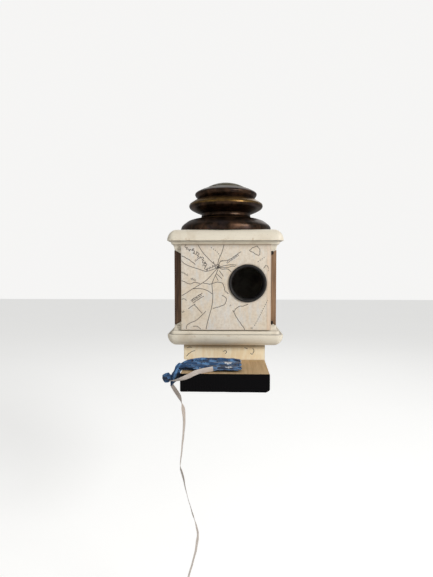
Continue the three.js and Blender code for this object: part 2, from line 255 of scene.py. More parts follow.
def turned(name, profile, centre, material, axis="Z", segments=144):
    """A turned piece from a closed profile of (radius, place along the axis), in metres."""
    profile = [Vector(p) for p in profile]
    points, rings = [], []
    for radius, along in profile:
        if radius < 1e-7:
            rings.append([len(points)] * segments)
            points.append((0.0, 0.0, along))
            continue
        rings.append(list(range(len(points), len(points) + segments)))
        points += [
            (radius * math.cos(a), radius * math.sin(a), along) for a in np.linspace(0, math.tau, segments, False)
        ]
    faces = []
    for low, high in zip(rings, rings[1:] + rings[:1]):
        for i in range(segments):
            j = (i + 1) % segments
            face = list(dict.fromkeys((low[i], low[j], high[j], high[i])))
            if len(face) > 2:
                faces.append(face)
    if axis == "Y":
        points = [(x, along, -y) for x, y, along in points]
    points = [Vector(p) + Vector(centre) for p in points]
    return crisp(out_facing(new_piece(name, points, faces, material)), 30)


def rounded(profile, radius, steps=4):
    """A closed outline with each corner cut by a small arc."""
    smooth = []
    for i, here in enumerate(profile):
        here = Vector(here)
        before, after = Vector(profile[i - 1]) - here, Vector(profile[(i + 1) % len(profile)]) - here
        if before.length < 1e-9 or after.length < 1e-9 or here.x < 1e-7:
            smooth.append(here)
            continue
        reach = min(radius, before.length * 0.45, after.length * 0.45)
        start, end = here + before.normalized() * reach, here + after.normalized() * reach
        smooth += [
            start * (1 - t) ** 2 + here * 2 * t * (1 - t) + end * t**2 for t in np.linspace(0, 1, steps + 1)
        ]
    return smooth


def spline(points, step):
    """Points about one step apart on a smooth curve through the points given."""
    points = [Vector(p) for p in points]
    ends = [points[0] * 2 - points[1], *points, points[-1] * 2 - points[-2]]
    dense = []
    for a, b, c, d in zip(ends, ends[1:], ends[2:], ends[3:]):
        for t in np.linspace(0, 1, 24, False):
            dense.append(
                0.5 * ((2 * b) + (c - a) * t + (2 * a - 5 * b + 4 * c - d) * t**2 + (3 * b - a - 3 * c + d) * t**3)
            )
    dense.append(points[-1])
    line = np.array([tuple(p) for p in dense])
    along = np.concatenate([[0], np.cumsum(np.linalg.norm(np.diff(line, axis=0), axis=1))])
    at = np.linspace(0, along[-1], max(3, round(along[-1] / step) + 1))
    return [Vector(p) for p in np.stack([np.interp(at, along, line[:, k]) for k in range(line.shape[1])], axis=1)]


# Shader building


def node(tree, kind, inputs=None, **settings):
    made = tree.nodes.new(kind)
    for key, value in settings.items():
        setattr(made, key, value)
    for key, value in (inputs or {}).items():
        if isinstance(value, bpy.types.NodeSocket):
            tree.links.new(value, made.inputs[key])
        elif isinstance(value, (Vector, tuple, list)) or hasattr(value, "foreach_get"):
            values = list(value)
            want = len(made.inputs[key].default_value)
            made.inputs[key].default_value = values + [1.0] * (want - len(values))
        else:
            made.inputs[key].default_value = value
    return made


def calc(tree, operation, *values, clamp=False):
    inputs = dict(enumerate(values))
    return node(tree, "ShaderNodeMath", inputs, operation=operation, use_clamp=clamp).outputs[0]


def mixed(tree, factor, first, second, blend="MIX"):
    made = node(tree, "ShaderNodeMix", data_type="RGBA", blend_type=blend)
    for socket, value in ((made.inputs[0], factor), (made.inputs[6], first), (made.inputs[7], second)):
        if isinstance(value, bpy.types.NodeSocket):
            tree.links.new(value, socket)
        elif isinstance(value, (int, float)):
            socket.default_value = value
        else:
            socket.default_value = [*value][:3] + [1.0]
    return made.outputs[2]


def ranged(tree, value, low, high, to_low=0.0, to_high=1.0):
    inputs = {"Value": value, "From Min": low, "From Max": high, "To Min": to_low, "To Max": to_high}
    return node(tree, "ShaderNodeMapRange", inputs).outputs[0]


def noisy(tree, vector, scale, detail=4.0, rough=0.55, distortion=0.0):
    inputs = {"Vector": vector, "Scale": scale, "Detail": detail, "Roughness": rough, "Distortion": distortion}
    return node(tree, "ShaderNodeTexNoise", inputs).outputs["Fac"]


def stretched(tree, vector, scale=(1, 1, 1), turn=(0, 0, 0), move=(0, 0, 0)):
    inputs = {"Vector": vector, "Scale": scale, "Rotation": turn, "Location": move}
    return node(tree, "ShaderNodeMapping", inputs).outputs[0]


def group(name, inputs, outputs):
    """A new shader group, its inner inputs node and its outputs node, or the group already made."""
    tree = bpy.data.node_groups.new(name, "ShaderNodeTree")
    for label, kind, default in inputs:
        socket = tree.interface.new_socket(label, in_out="INPUT", socket_type=f"NodeSocket{kind}")
        if default is not None:
            socket.default_value = default
    for label, kind in outputs:
        tree.interface.new_socket(label, in_out="OUTPUT", socket_type=f"NodeSocket{kind}")
    return tree, tree.nodes.new("NodeGroupInput").outputs, tree.nodes.new("NodeGroupOutput").inputs


def placed(tree, group_maker, **inputs):
    name = group_maker.__name__
    inner = bpy.data.node_groups.get(name) or group_maker(name)
    inputs = {key.replace("_", " ").capitalize(): value for key, value in inputs.items()}
    return node(tree, "ShaderNodeGroup", inputs, node_tree=inner).outputs


def wood_grain(name):
    """Grain that runs along Z of the vector it is given: a tone, a darker fibre mask and a height."""
    tree, given, out = group(
        name,
        [
            ("Vector", "Vector", None), ("Ring scale", "Float", 90.0),
            ("Waviness", "Float", 0.35), ("Sway", "Float", 0.05),
        ],
        [("Tone", "Float"), ("Fibre", "Float"), ("Height", "Float")],
    )
    sway = noisy(tree, stretched(tree, given["Vector"], (1, 1, 0.25)), 14.0, 2.0)
    grain_shift = calc(tree, "MULTIPLY", sway, given["Sway"])
    drift = node(tree, "ShaderNodeCombineXYZ", {0: grain_shift, 1: 0.0, 2: 0.0}).outputs[0]
    swayed = node(tree, "ShaderNodeVectorMath", {0: given["Vector"], 1: drift}, operation="ADD").outputs[0]
    long_grain = stretched(tree, swayed, (1, 1, 0.045))
    rings = noisy(tree, long_grain, given["Ring scale"], 3.0, 0.5, given["Waviness"])
    fibres = noisy(tree, stretched(tree, swayed, (1, 1, 0.03)), 1400.0, 3.0, 0.6)
    streaks = noisy(tree, stretched(tree, swayed, (1, 1, 0.05)), 420.0, 3.0, 0.6)
    tone = calc(tree, "ADD", calc(tree, "MULTIPLY", rings, 0.65), calc(tree, "MULTIPLY", streaks, 0.35))
    tree.links.new(ranged(tree, tone, 0.34, 0.66), out["Tone"])
    tree.links.new(ranged(tree, fibres, 0.52, 0.72), out["Fibre"])
    rise = calc(tree, "ADD", calc(tree, "MULTIPLY", fibres, 0.6), calc(tree, "MULTIPLY", tone, 0.4))
    tree.links.new(rise, out["Height"])
    return tree


def age_stains(name):
    """Soft blotches: a mask from 0, clean, to 1, stained."""
    tree, given, out = group(
        name,
        [("Vector", "Vector", None), ("Scale", "Float", 40.0), ("Coverage", "Float", 0.4)],
        [("Mask", "Float"), ("Speckle", "Float")],
    )
    broad = noisy(tree, given["Vector"], given["Scale"], 5.0, 0.6, 0.4)
    low = calc(tree, "SUBTRACT", 0.78, given["Coverage"])
    high = calc(tree, "ADD", low, 0.22)
    tree.links.new(ranged(tree, broad, low, high), out["Mask"])
    fine = noisy(tree, given["Vector"], 900.0, 2.0, 0.5)
    tree.links.new(ranged(tree, fine, 0.68, 0.74), out["Speckle"])
    return tree


def plain_weave(name):
    """Over and under threads on a piece's UV map, in threads per unit of the map."""
    tree, given, out = group(
        name,
        [("Vector", "Vector", None), ("Threads", "Float", 150.0)],
        [("Height", "Float"), ("Tone", "Float")],
    )
    scaled = node(tree, "ShaderNodeVectorMath", {0: given["Vector"], 3: given["Threads"]}, operation="SCALE").outputs[0]
    parts = node(tree, "ShaderNodeSeparateXYZ", {0: scaled}).outputs
    warp = calc(tree, "SINE", calc(tree, "MULTIPLY", parts[0], math.tau))
    weft = calc(tree, "SINE", calc(tree, "MULTIPLY", parts[1], math.tau))
    over = calc(tree, "MULTIPLY", warp, weft)
    tree.links.new(ranged(tree, over, -1.0, 1.0), out["Height"])
    slub = noisy(tree, stretched(tree, scaled, (1.0, 0.06, 1.0)), 0.9, 2.0)
    tree.links.new(ranged(tree, slub, 0.3, 0.7), out["Tone"])
    return tree


def petal_print(name):
    """A printed flower of round petals about a centre in the vector's plane: a mask."""
    tree, given, out = group(
        name,
        [("Vector", "Vector", None), ("Centre", "Vector", None), ("Radius", "Float", 4.5), ("Petals", "Float", 8.0)],
        [("Mask", "Float")],
    )
    away = node(tree, "ShaderNodeVectorMath", {0: given["Vector"], 1: given["Centre"]}, operation="SUBTRACT").outputs[0]
    parts = node(tree, "ShaderNodeSeparateXYZ", {0: away}).outputs
    angle = calc(tree, "ARCTAN2", parts[1], parts[0])
    far = node(tree, "ShaderNodeVectorMath", {0: away}, operation="LENGTH").outputs["Value"]
    reach = calc(tree, "DIVIDE", far, given["Radius"])
    half_turns = calc(tree, "MULTIPLY", angle, calc(tree, "MULTIPLY", given["Petals"], 0.5))
    lobe = calc(tree, "ABSOLUTE", calc(tree, "COSINE", half_turns))
    edge = calc(tree, "ADD", 0.42, calc(tree, "MULTIPLY", calc(tree, "POWER", lobe, 0.45), 0.58))
    inside = calc(tree, "SUBTRACT", 1.0, ranged(tree, calc(tree, "SUBTRACT", reach, edge), -0.04, 0.04))
    eye = ranged(tree, calc(tree, "ABSOLUTE", calc(tree, "SUBTRACT", reach, 0.24)), 0.03, 0.09)
    split = ranged(tree, lobe, 0.1, 0.35)
    near = calc(tree, "SUBTRACT", 1.0, ranged(tree, reach, 0.2, 0.24))
    petals = calc(tree, "MULTIPLY", inside, calc(tree, "MAXIMUM", split, near))
    tree.links.new(calc(tree, "MULTIPLY", petals, eye), out["Mask"])
    return tree


def material(name, build, **shader):
    """A material whose build(tree, shader) puts nodes before its one Principled BSDF."""
    found = bpy.data.materials.get(name)
    if found:
        return found
    made = bpy.data.materials.new(name)
    made.use_nodes = True
    tree = made.node_tree
    principled = tree.nodes["Principled BSDF"]
    for key, value in shader.items():
        principled.inputs[key.replace("_", " ").title().replace("Ior", "IOR")].default_value = value
    build(tree, principled.inputs)
    return made


def object_place(tree):
    return node(tree, "ShaderNodeTexCoord").outputs["Object"]


def bumped(tree, height, distance_mm, strength=1.0, onto=None):
    inputs = {"Height": height, "Distance": distance_mm * MM, "Strength": strength}
    if onto is not None:
        inputs["Normal"] = onto
    return node(tree, "ShaderNodeBump", inputs).outputs[0]


def attribute(tree, name, output="Fac"):
    return node(tree, "ShaderNodeAttribute", attribute_name=name).outputs[output]


# Finishes


def cream_paint():
    def build(tree, shader):
        place = object_place(tree)
        stains = placed(tree, age_stains, vector=place, scale=34.0, coverage=0.26)
        streaks = noisy(tree, stretched(tree, place, (0.25, 0.25, 1)), 260.0, 4.0)
        base = mixed(tree, calc(tree, "MULTIPLY", stains["Mask"], 0.34), colours().cream, colours().stain)
        base = mixed(tree, ranged(tree, streaks, 0.35, 0.7, 0.0, 0.10), base, (0.55, 0.46, 0.34))
        # Painted shade: the paint is darkened by its point attribute in the plaques' grooves and coves and on the box's
        # inner faces, more where it is stained
        grime = calc(tree, "MULTIPLY", attribute(tree, "grime"), ranged(tree, stains["Mask"], 0.0, 1.0, 0.7, 1.0))
        base = mixed(tree, grime, base, (0.09, 0.075, 0.065))
        wear = calc(tree, "MULTIPLY", attribute(tree, "wear"), ranged(tree, noisy(tree, place, 120.0, 6.0), 0.6, 0.7))
        base = mixed(tree, calc(tree, "MULTIPLY", wear, 0.5), base, colours().board_dark)
        base = mixed(tree, calc(tree, "MULTIPLY", stains["Speckle"], 0.5), base, (0.16, 0.12, 0.08))
        tree.links.new(base, shader["Base Color"])
        tree.links.new(ranged(tree, stains["Mask"], 0.0, 1.0, 0.42, 0.62), shader["Roughness"])
        brush = noisy(tree, stretched(tree, place, (0.12, 0.12, 1)), 900.0, 3.0)
        coarse = noisy(tree, place, 160.0, 3.0)
        tree.links.new(bumped(tree, brush, 0.05, 0.6, bumped(tree, coarse, 0.3, 0.5)), shader["Normal"])

    return material("cream paint", build)


def stained_stile():
    def build(tree, shader):
        place = object_place(tree)
        grain = placed(tree, wood_grain, vector=place, ring_scale=150.0, waviness=0.5)
        # Painted light and shade: the right stile is made far lighter than the left, standing in for the light falling
        # on the right one and the door's shadow on the left one; the grain adds its own streaks
        side = node(tree, "ShaderNodeSeparateXYZ", {0: place}).outputs[0]
        right = ranged(tree, side, -0.01, 0.01)
        tone = ranged(tree, calc(tree, "ADD", grain["Tone"], calc(tree, "MULTIPLY", right, 0.55)), 0.35, 1.4)
        base = mixed(tree, tone, colours().stile_dark, colours().stile_light)
        base = mixed(tree, calc(tree, "MULTIPLY", grain["Fibre"], 0.55), base, (0.012, 0.008, 0.005))
        tree.links.new(base, shader["Base Color"])
        tree.links.new(bumped(tree, grain["Height"], 0.25, 0.7), shader["Normal"])

    return material("stained wood", build, roughness=0.55)


def bare_board():
    def build(tree, shader):
        place = object_place(tree)
        along = stretched(tree, place, (1, 1, 1), (math.pi / 2, 0, 0))
        grain = placed(tree, wood_grain, vector=along, ring_scale=260.0, waviness=0.04, sway=0.004)
        base = mixed(tree, grain["Tone"], colours().board_dark, colours().board_light)
        base = mixed(tree, calc(tree, "MULTIPLY", grain["Fibre"], 0.35), base, (0.14, 0.085, 0.04))
        smudge = placed(tree, age_stains, vector=place, scale=46.0, coverage=0.22)
        base = mixed(tree, calc(tree, "MULTIPLY", smudge["Mask"], 0.25), base, (0.2, 0.15, 0.1))
        painted = attribute(tree, "painted")
        thin = ranged(tree, noisy(tree, place, 700.0, 5.0, 0.65), 0.68, 0.76)
        paint = mixed(tree, calc(tree, "MULTIPLY", thin, 0.35), colours().end_paint, (0.05, 0.04, 0.035))
        edge = calc(tree, "ADD", painted, calc(tree, "MULTIPLY", noisy(tree, place, 500.0, 3.0), 0.3))
        cover = ranged(tree, edge, 0.6, 0.72)
        tree.links.new(mixed(tree, cover, base, paint), shader["Base Color"])
        tree.links.new(ranged(tree, cover, 0.0, 1.0, 0.66, 0.9), shader["Roughness"])
        tree.links.new(bumped(tree, grain["Height"], 0.22, 0.7), shader["Normal"])

    return material("bare board", build, specular_ior_level=0.12)


def map_paper():
    def build(tree, shader):
        place = object_place(tree)
        blotch = placed(tree, age_stains, vector=place, scale=55.0, coverage=0.38)
        cloud = noisy(tree, place, 24.0, 3.0)
        base = mixed(tree, ranged(tree, cloud, 0.35, 0.7, 0.05, 0.5), colours().paper, colours().paper_aged)
        base = mixed(tree, calc(tree, "MULTIPLY", blotch["Mask"], 0.35), base, (0.83, 0.79, 0.72))
        faint = noisy(tree, place, 62.0, 1.0, 0.4, 0.6)
        contour_band = calc(tree, "FRACT", calc(tree, "MULTIPLY", faint, 9.0))
        contour = calc(tree, "ABSOLUTE", calc(tree, "SUBTRACT", contour_band, 0.5))
        line = calc(tree, "SUBTRACT", 1.0, ranged(tree, contour, 0.0, 0.035))
        patchy = ranged(tree, noisy(tree, place, 45.0, 2.0), 0.48, 0.62)
        base = mixed(tree, calc(tree, "MULTIPLY", calc(tree, "MULTIPLY", line, patchy), 0.22), base, (0.28, 0.22, 0.19))
        mottle = noisy(tree, place, 330.0, 5.0, 0.7)
        base = mixed(tree, ranged(tree, mottle, 0.42, 0.62, 0.0, 0.34), base, (0.5, 0.39, 0.27))
        washed = noisy(tree, stretched(tree, place, (1, 1, 0.3)), 130.0, 5.0, 0.65)
        base = mixed(tree, ranged(tree, washed, 0.5, 0.64, 0.0, 0.5), base, (0.7, 0.7, 0.69))
        fleck = ranged(tree, noisy(tree, place, 1500.0, 3.0, 0.6), 0.66, 0.74)
        base = mixed(tree, calc(tree, "MULTIPLY", fleck, 0.3), base, (0.33, 0.24, 0.16))
        across, _, up = node(tree, "ShaderNodeSeparateXYZ", {0: place}).outputs
        edge_share = ranged(tree, across, 0.0528, 0.0545, 0.0, 0.6)
        turned_in = calc(tree, "MULTIPLY", edge_share, ranged(tree, cloud, 0.3, 0.6, 0.5, 1.0))
        base = mixed(tree, turned_in, base, (0.78, 0.56, 0.38))
        # Below the door, on the riser, the paper is yellower and much brighter: its own colour, and painted light
        # making up for the shade of the floor plaque over it
        riser_mask = ranged(tree, up, -0.075, -0.065, 0.85, 0.0)
        riser_paper_yellow_and_lit = mixed(tree, ranged(tree, washed, 0.4, 0.6), (1.0, 0.9, 0.68), (0.93, 0.76, 0.48))
        base = mixed(tree, riser_mask, base, riser_paper_yellow_and_lit)
        # Painted shadow and shade, with darker edges: the paper is darkened by its point attribute under the plaques,
        # in the crease, along its edges and round the pipe
        grime = calc(tree, "MULTIPLY", attribute(tree, "grime"), 0.6)
        base = mixed(tree, grime, base, (0.2, 0.14, 0.09))
        tree.links.new(base, shader["Base Color"])
        fibre = noisy(tree, place, 1800.0, 4.0)
        wrinkle = noisy(tree, place, 150.0, 4.0, 0.5, 0.5)
        tree.links.new(bumped(tree, fibre, 0.04, 0.5, bumped(tree, wrinkle, 0.35, 0.5)), shader["Normal"])

    return material("map paper", build, roughness=0.62)


def printed_ink():
    def build(tree, shader):
        place = object_place(tree)
        worn = ranged(tree, noisy(tree, place, 330.0, 4.0), 0.4, 0.68, 0.0, 0.45)
        tree.links.new(mixed(tree, worn, colours().ink, (0.36, 0.3, 0.25)), shader["Base Color"])

    return material("printed ink", build, roughness=0.6)


def black_plastic():
    def build(tree, shader):
        place = object_place(tree)
        dust = ranged(tree, noisy(tree, place, 260.0, 5.0, 0.6), 0.45, 0.8)
        base = mixed(tree, calc(tree, "MULTIPLY", dust, 0.12), colours().plastic, (0.3, 0.24, 0.18))
        tree.links.new(base, shader["Base Color"])
        tree.links.new(ranged(tree, dust, 0.0, 1.0, 0.62, 0.8), shader["Roughness"])
        drawn = noisy(tree, stretched(tree, place, (1, 0.03, 1)), 900.0, 2.0)
        tree.links.new(bumped(tree, drawn, 0.03, 0.4), shader["Normal"])

    return material("black plastic", build)


def patinated_metal():
    """Dark bronze that shows brass where the piece's rub attribute says it is handled."""

    def build(tree, shader):
        place = object_place(tree)
        mottled = noisy(tree, place, 75.0, 7.0, 0.68, 0.5)
        patina = mixed(tree, ranged(tree, mottled, 0.42, 0.66), colours().bronze, (0.1, 0.052, 0.03))
        cool = noisy(tree, place, 48.0, 4.0, 0.6)
        patina = mixed(tree, ranged(tree, cool, 0.52, 0.68, 0.0, 0.6), patina, (0.05, 0.038, 0.042))
        green = calc(tree, "MULTIPLY", attribute(tree, "green"), ranged(tree, mottled, 0.3, 0.5))
        patina = mixed(tree, green, patina, colours().verdigris)
        scuff = noisy(tree, stretched(tree, place, (1, 1, 3)), 150.0, 6.0, 0.7)
        rubbed = calc(tree, "MULTIPLY", attribute(tree, "rub"), ranged(tree, scuff, 0.38, 0.56, 0.35, 1.0))
        tree.links.new(mixed(tree, rubbed, patina, colours().brass), shader["Base Color"])
        dull = calc(tree, "ADD", ranged(tree, mottled, 0.3, 0.75, 0.3, 0.48), calc(tree, "MULTIPLY", green, 0.2))
        tree.links.new(calc(tree, "SUBTRACT", dull, calc(tree, "MULTIPLY", rubbed, 0.1)), shader["Roughness"])
        tree.links.new(ranged(tree, green, 0.0, 1.0, 0.9, 0.4), shader["Metallic"])
        pits = noisy(tree, place, 700.0, 4.0)
        dents = noisy(tree, place, 90.0, 3.0)
        tree.links.new(bumped(tree, pits, 0.05, 0.5, bumped(tree, dents, 0.6, 0.4)), shader["Normal"])

    return material("patinated metal", build)


def plated_steel():
    def build(tree, shader):
        place = object_place(tree)
        spots = noisy(tree, place, 500.0, 5.0, 0.6)
        base = mixed(tree, ranged(tree, spots, 0.5, 0.75), (0.55, 0.54, 0.5), (0.3, 0.25, 0.19))
        tree.links.new(base, shader["Base Color"])
        tree.links.new(ranged(tree, spots, 0.3, 0.8, 0.25, 0.5), shader["Roughness"])

    return material("plated steel", build, metallic=1.0)


def dark_wire():
    def build(tree, shader):
        place = object_place(tree)
        rust = ranged(tree, noisy(tree, place, 900.0, 5.0, 0.6), 0.5, 0.7)
        tree.links.new(mixed(tree, rust, (0.02, 0.018, 0.017), (0.07, 0.035, 0.018)), shader["Base Color"])
        tree.links.new(ranged(tree, rust, 0.0, 1.0, 0.4, 0.7), shader["Roughness"])

    return material("dark wire", build, metallic=0.7)


def printed_cotton():
    """Blue cotton on a UV map in millimetres of the flat cloth."""

    def build(tree, shader):
        flat = node(tree, "ShaderNodeUVMap", uv_map="flat").outputs[0]
        weave = placed(tree, plain_weave, vector=flat, threads=1.6)
        faded = noisy(tree, flat, 0.07, 3.0, 0.55, 0.5)
        base = mixed(tree, ranged(tree, faded, 0.48, 0.6), colours().cloth, colours().cloth_faded)
        marbled = noisy(tree, flat, 0.16, 3.0, 0.5, 1.2)
        base = mixed(tree, ranged(tree, marbled, 0.52, 0.58), base, colours().cloth_dark)
        white = None
        for centre, radius, petals in COTTON_FLOWERS:
            flower = placed(tree, petal_print, vector=flat, centre=(*centre, 0), radius=radius, petals=float(petals))
            white = flower["Mask"] if white is None else calc(tree, "MAXIMUM", white, flower["Mask"])
        cells = node(tree, "ShaderNodeTexVoronoi", {"Vector": flat, "Scale": 0.2, "Randomness": 0.8})
        dots = calc(tree, "SUBTRACT", 1.0, ranged(tree, cells.outputs["Distance"], 0.11, 0.15))
        chosen = node(tree, "ShaderNodeSeparateColor", {0: cells.outputs["Color"]}).outputs[0]
        dots = calc(tree, "MULTIPLY", dots, ranged(tree, chosen, 0.62, 0.64))
        print_share = calc(tree, "MULTIPLY", calc(tree, "MAXIMUM", white, dots), 0.92)
        base = mixed(tree, print_share, base, colours().print_white)
        base = mixed(tree, ranged(tree, weave["Tone"], 0.0, 1.0, 0.0, 0.14), base, (0.02, 0.04, 0.09))
        base = mixed(tree, calc(tree, "MULTIPLY", attribute(tree, "shade"), 0.6), base, (0.008, 0.02, 0.05))
        tree.links.new(base, shader["Base Color"])
        tree.links.new(bumped(tree, weave["Height"], 0.12, 0.6), shader["Normal"])

    return material("printed cotton", build, roughness=0.82, sheen_weight=0.15)


def satin_ribbon():
    """Satin on a UV map in millimetres: fine threads along it and a woven edge."""

    def build(tree, shader):
        flat = node(tree, "ShaderNodeUVMap", uv_map="flat").outputs[0]
        threads = noisy(tree, stretched(tree, flat, (0.04, 1, 1)), 5.0, 3.0)
        soiled = noisy(tree, flat, 0.12, 4.0)
        base = mixed(tree, ranged(tree, soiled, 0.4, 0.75, 0.0, 0.4), colours().ribbon, (0.33, 0.27, 0.22))
        base = mixed(tree, ranged(tree, threads, 0.35, 0.65, 0.0, 0.18), base, (0.25, 0.21, 0.18))
        tree.links.new(base, shader["Base Color"])
        tree.links.new(bumped(tree, threads, 0.05, 0.6), shader["Normal"])

    return material("satin ribbon", build, roughness=0.38, sheen_weight=0.3)


# Flowers on the cotton: place on the flat cloth in millimetres, radius and petals
COTTON_FLOWERS = [
    ((61, 30), 5.6, 8),
    ((40, 58), 3.6, 8),
    ((52, 53), 3.4, 6),
    ((80, 44), 3.8, 8),
    ((78, 58), 4.0, 8),
    ((24, 30), 3.2, 6),
    ((100, 20), 4.5, 8),
    ((62, 12), 4.6, 8),
]


# Plaques and box


def moulded_edge():
    """The plaque's edge as (out from the box's wall, down from the plaque's outer face, painted shade), in mm."""
    low, high = span("roof_plaque")
    out = (high.x - span("right_wall")[1].x) / MM
    thick = (high.z - low.z) / MM
    round_radius, step, fillet = 14.0, 5.2, 3.4
    edge = [(out - round_radius - 3, 0, 0)]
    for a in np.linspace(0, math.pi / 2, 15):
        edge.append((out - round_radius * (1 - math.sin(a)), round_radius * (1 - math.cos(a)), 0))
    # Painted shade: the third number of each point darkens the groove under the round and the foot of the fillet, and
    # fades down the cove below, where the moulding shades itself
    edge += [(out, round_radius + 0.5, 0), (out - 0.3, round_radius + 0.8, 0.1), (step + 0.3, round_radius + 1.1, 0.8)]
    edge += [(step, round_radius + 1.4, 0.7), (step - 0.3, round_radius + 1.9, 0.1), (fillet + 0.2, 19.0, 0)]
    edge += [(fillet, 19.3, 0), (fillet - 0.3, 19.5, 0.8)]
    for t in np.linspace(0.15, 1, 9):
        start, hold, end = np.array((3.1, 19.5)), np.array((0.15, 20.3)), np.array((0, thick))
        x, drop = start * (1 - t) ** 2 + hold * 2 * t * (1 - t) + end * t**2
        edge.append((x, drop, 0.35 * (1 - t)))
    return edge


def plaque_outline(out, corner):
    """A ring round the front and both sides, (x, y), from the back left to the back right."""
    wall, front = span("right_wall")[1].x / MM, span("frame_rail_top")[0].y / MM
    half, front = wall + out, front - out
    ring = [(-half, y) for y in np.linspace(0, front + corner, 26)]
    for a in np.linspace(0, math.pi / 2, 11)[1:]:
        ring.append((-half + corner * (1 - math.cos(a)), front + corner * (1 - math.sin(a))))
    across = np.linspace(-half + corner, half - corner, 34)[1:-1]
    ring += [(x, front) for x in across]
    for a in np.linspace(math.pi / 2, 0, 11):
        ring.append((half - corner * (1 - math.cos(a)), front + corner * (1 - math.sin(a))))
    return ring + [(half, y) for y in np.linspace(front + corner, 0, 26)[1:]]


def plaque(name, node_name, up):
    """A moulded plaque, hand painted: its faces wander by a tenth of a millimetre."""
    low, high = span(node_name)
    outer = high.z if up > 0 else low.z
    tip_corner, edge = 9.5, moulded_edge()
    points, grime, wear, rings = [], [], [], []
    for out, drop, darkening in edge:
        corner = max(0.8, tip_corner - (edge[15][0] - out))
        ring = plaque_outline(out, corner)
        rings.append(range(len(points), len(points) + len(ring)))
        for x, y in ring:
            wander = noise.fractal(Vector((x, y, outer / MM + drop)) * 0.035, 1.0, 2.0, 3) * 0.16
            points.append((x * MM, y * MM, outer - up * (drop + (wander if drop > 0 else 0)) * MM))
            grime.append(darkening)
            wear.append(1.0 if 12 < drop < 15.2 and out > 8 else 0.0)
    count = len(rings[0])
    faces = []
    for first, second in zip(rings, rings[1:]):
        for i in range(count):
            j = (i + 1) % count
            faces.append((first[i], first[j], second[j], second[i]))
    faces += [tuple(rings[0]), tuple(reversed(rings[-1]))]
    piece = new_piece(name, points, faces, cream_paint())
    # The painted shade of the moulding's groove and cove, and the wear of its nose, go on the points for the paint
    for label, values in (("grime", grime), ("wear", wear)):
        piece.data.attributes.new(label, "FLOAT", "POINT").data.foreach_set("value", values)
    piece = out_facing(piece)
    cutters = []
    for screw in (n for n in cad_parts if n.startswith(("roof_screw", "floor_screw"))):
        screw_low, screw_high = span(screw)
        if (screw_high.z > 0) == (up > 0):
            middle = (screw_low + screw_high) / 2
            radius = (screw_high.x - screw_low.x) / 2 + 0.3 * MM
            ends = sorted((outer - up * 1.2 * MM, outer + up * MM))
            cutters.append(cylinder("cutter", radius, *ends, middle, cream_paint(), 32))
    return stand_for(crisp(carved(piece, cutters), 32), "house", node_name, slot="cream_paint")


class BIRDHOUSE_OT_plaques(bpy.types.Operator):
    """Makes the moulded roof and floor plaques"""

    bl_idname = "birdhouse.plaques"
    bl_label = "Plaques"

    def execute(self, context):
        plaque("roof_plaque_moulded", "roof_plaque", 1)
        plaque("floor_plaque_moulded", "floor_plaque", -1)
        return {"FINISHED"}


class BIRDHOUSE_OT_box(bpy.types.Operator):
    """Makes the walls, the face frame, the riser block and the door's board"""

    bl_idname = "birdhouse.box"
    bl_label = "Box"

    @staticmethod
    def darken_inside(board):
        """Painted shade inside the box: the walls' inner faces are darkened far towards black, standing in for the dim
        inside.
        """
        inner = span("left_wall")[1].x + MM, span("right_wall")[0].x - MM
        shade_reach = 2 * MM
        # Painted shade on the inner faces
        darkening = [
            0.9 if inner[0] - shade_reach < v.co.x < inner[1] + shade_reach and v.co.y < -shade_reach else 0.0
            for v in board.data.vertices
        ]
        board.data.attributes.new("grime", "FLOAT", "POINT").data.foreach_set("value", darkening)

    def execute(self, context):
        for name in ("left_wall", "right_wall", "back_wall", "frame_rail_top", "frame_rail_bottom", "riser_block"):
            board = eased_board(name, "house", cream_paint(), "cream_paint")
            if name.endswith("wall"):
                self.darken_inside(board)
        for name in ("frame_stile_left", "frame_stile_right"):
            eased_board(name, "house", stained_stile(), "stained_wood", 0.5 * MM)
        eased_board("door_panel", "door", cream_paint(), "cream_paint", 0.4 * MM)
        return {"FINISHED"}


# Paper with its printed map


def relief(x, z, height):
    """How far the glued paper stands out at a place, in mm, from bubbles and a crease by its right edge."""
    bubbles = noise.fractal(Vector((x * 0.045, 3.7, z * 0.045)), 1.0, 2.0, 4)
    wrinkles = noise.ridged_multi_fractal(Vector((x * 0.03, 9.1, z * 0.06)), 0.9, 2.1, 3, 0.8, 1.8)
    crease = math.exp(-(((x - 54.0 - 0.8 * math.sin(z * 0.11)) / 0.7) ** 2))
    return height * (0.35 * bubbles + 0.12 * (wrinkles - 1.0) + 0.8 * crease + 0.35)


DOOR_ROADS = [
    [(-1.3, 55.6), (-4.1, 45.7), (-7.8, 37.3), (-9.2, 30.7), (-8.8, 26.5)],
    [(-35.0, 55.6), (-29.4, 46.6), (-22.8, 39.1), (-17.2, 33.5), (-11.6, 28.8), (-8.8, 26.5)],
    [(-57.2, 36.3), (-52.8, 31.6), (-45.3, 27.9), (-34, 24.2), (-24.7, 21.4), (-17.2, 23.2), (-8.8, 26.5)],
    [(-8.8, 26.5), (-22.8, 11.1), (-32.2, 4.5), (-41.5, -1.1), (-51.8, -7.7), (-57.2, -10.5)],
    [(-41.5, -1.1), (-32.2, -0.9), (-23.7, -3), (-15.8, -8.1)],
    [(-8.8, 26.5), (-9.7, 22.3), (-13.4, 13.9), (-16.7, 5.4), (-16.2, -3.9), (-15.8, -13.3), (-17.2, -24.5),
     (-20, -34.8), (-22.8, -45.1), (-24.7, -55)],
    [(-8.8, 26.5), (0.6, 28.8), (8.1, 29.8), (14.6, 29.3)],
    [(-8.8, 26.5), (1.5, 26), (9, 27.9), (13, 27.4)],
    [(-8.8, 26.5), (-4.1, 24.2), (3.4, 24.2), (7.8, 20.6)],
    [(-50, -55), (-49.5, -48.8), (-44.3, -45.1), (-37.8, -42.3), (-32.2, -37.6), (-24.7, -30.1)],
    [(-41.5, -49.8), (-35.9, -49.8), (-31.2, -53.5)],
]
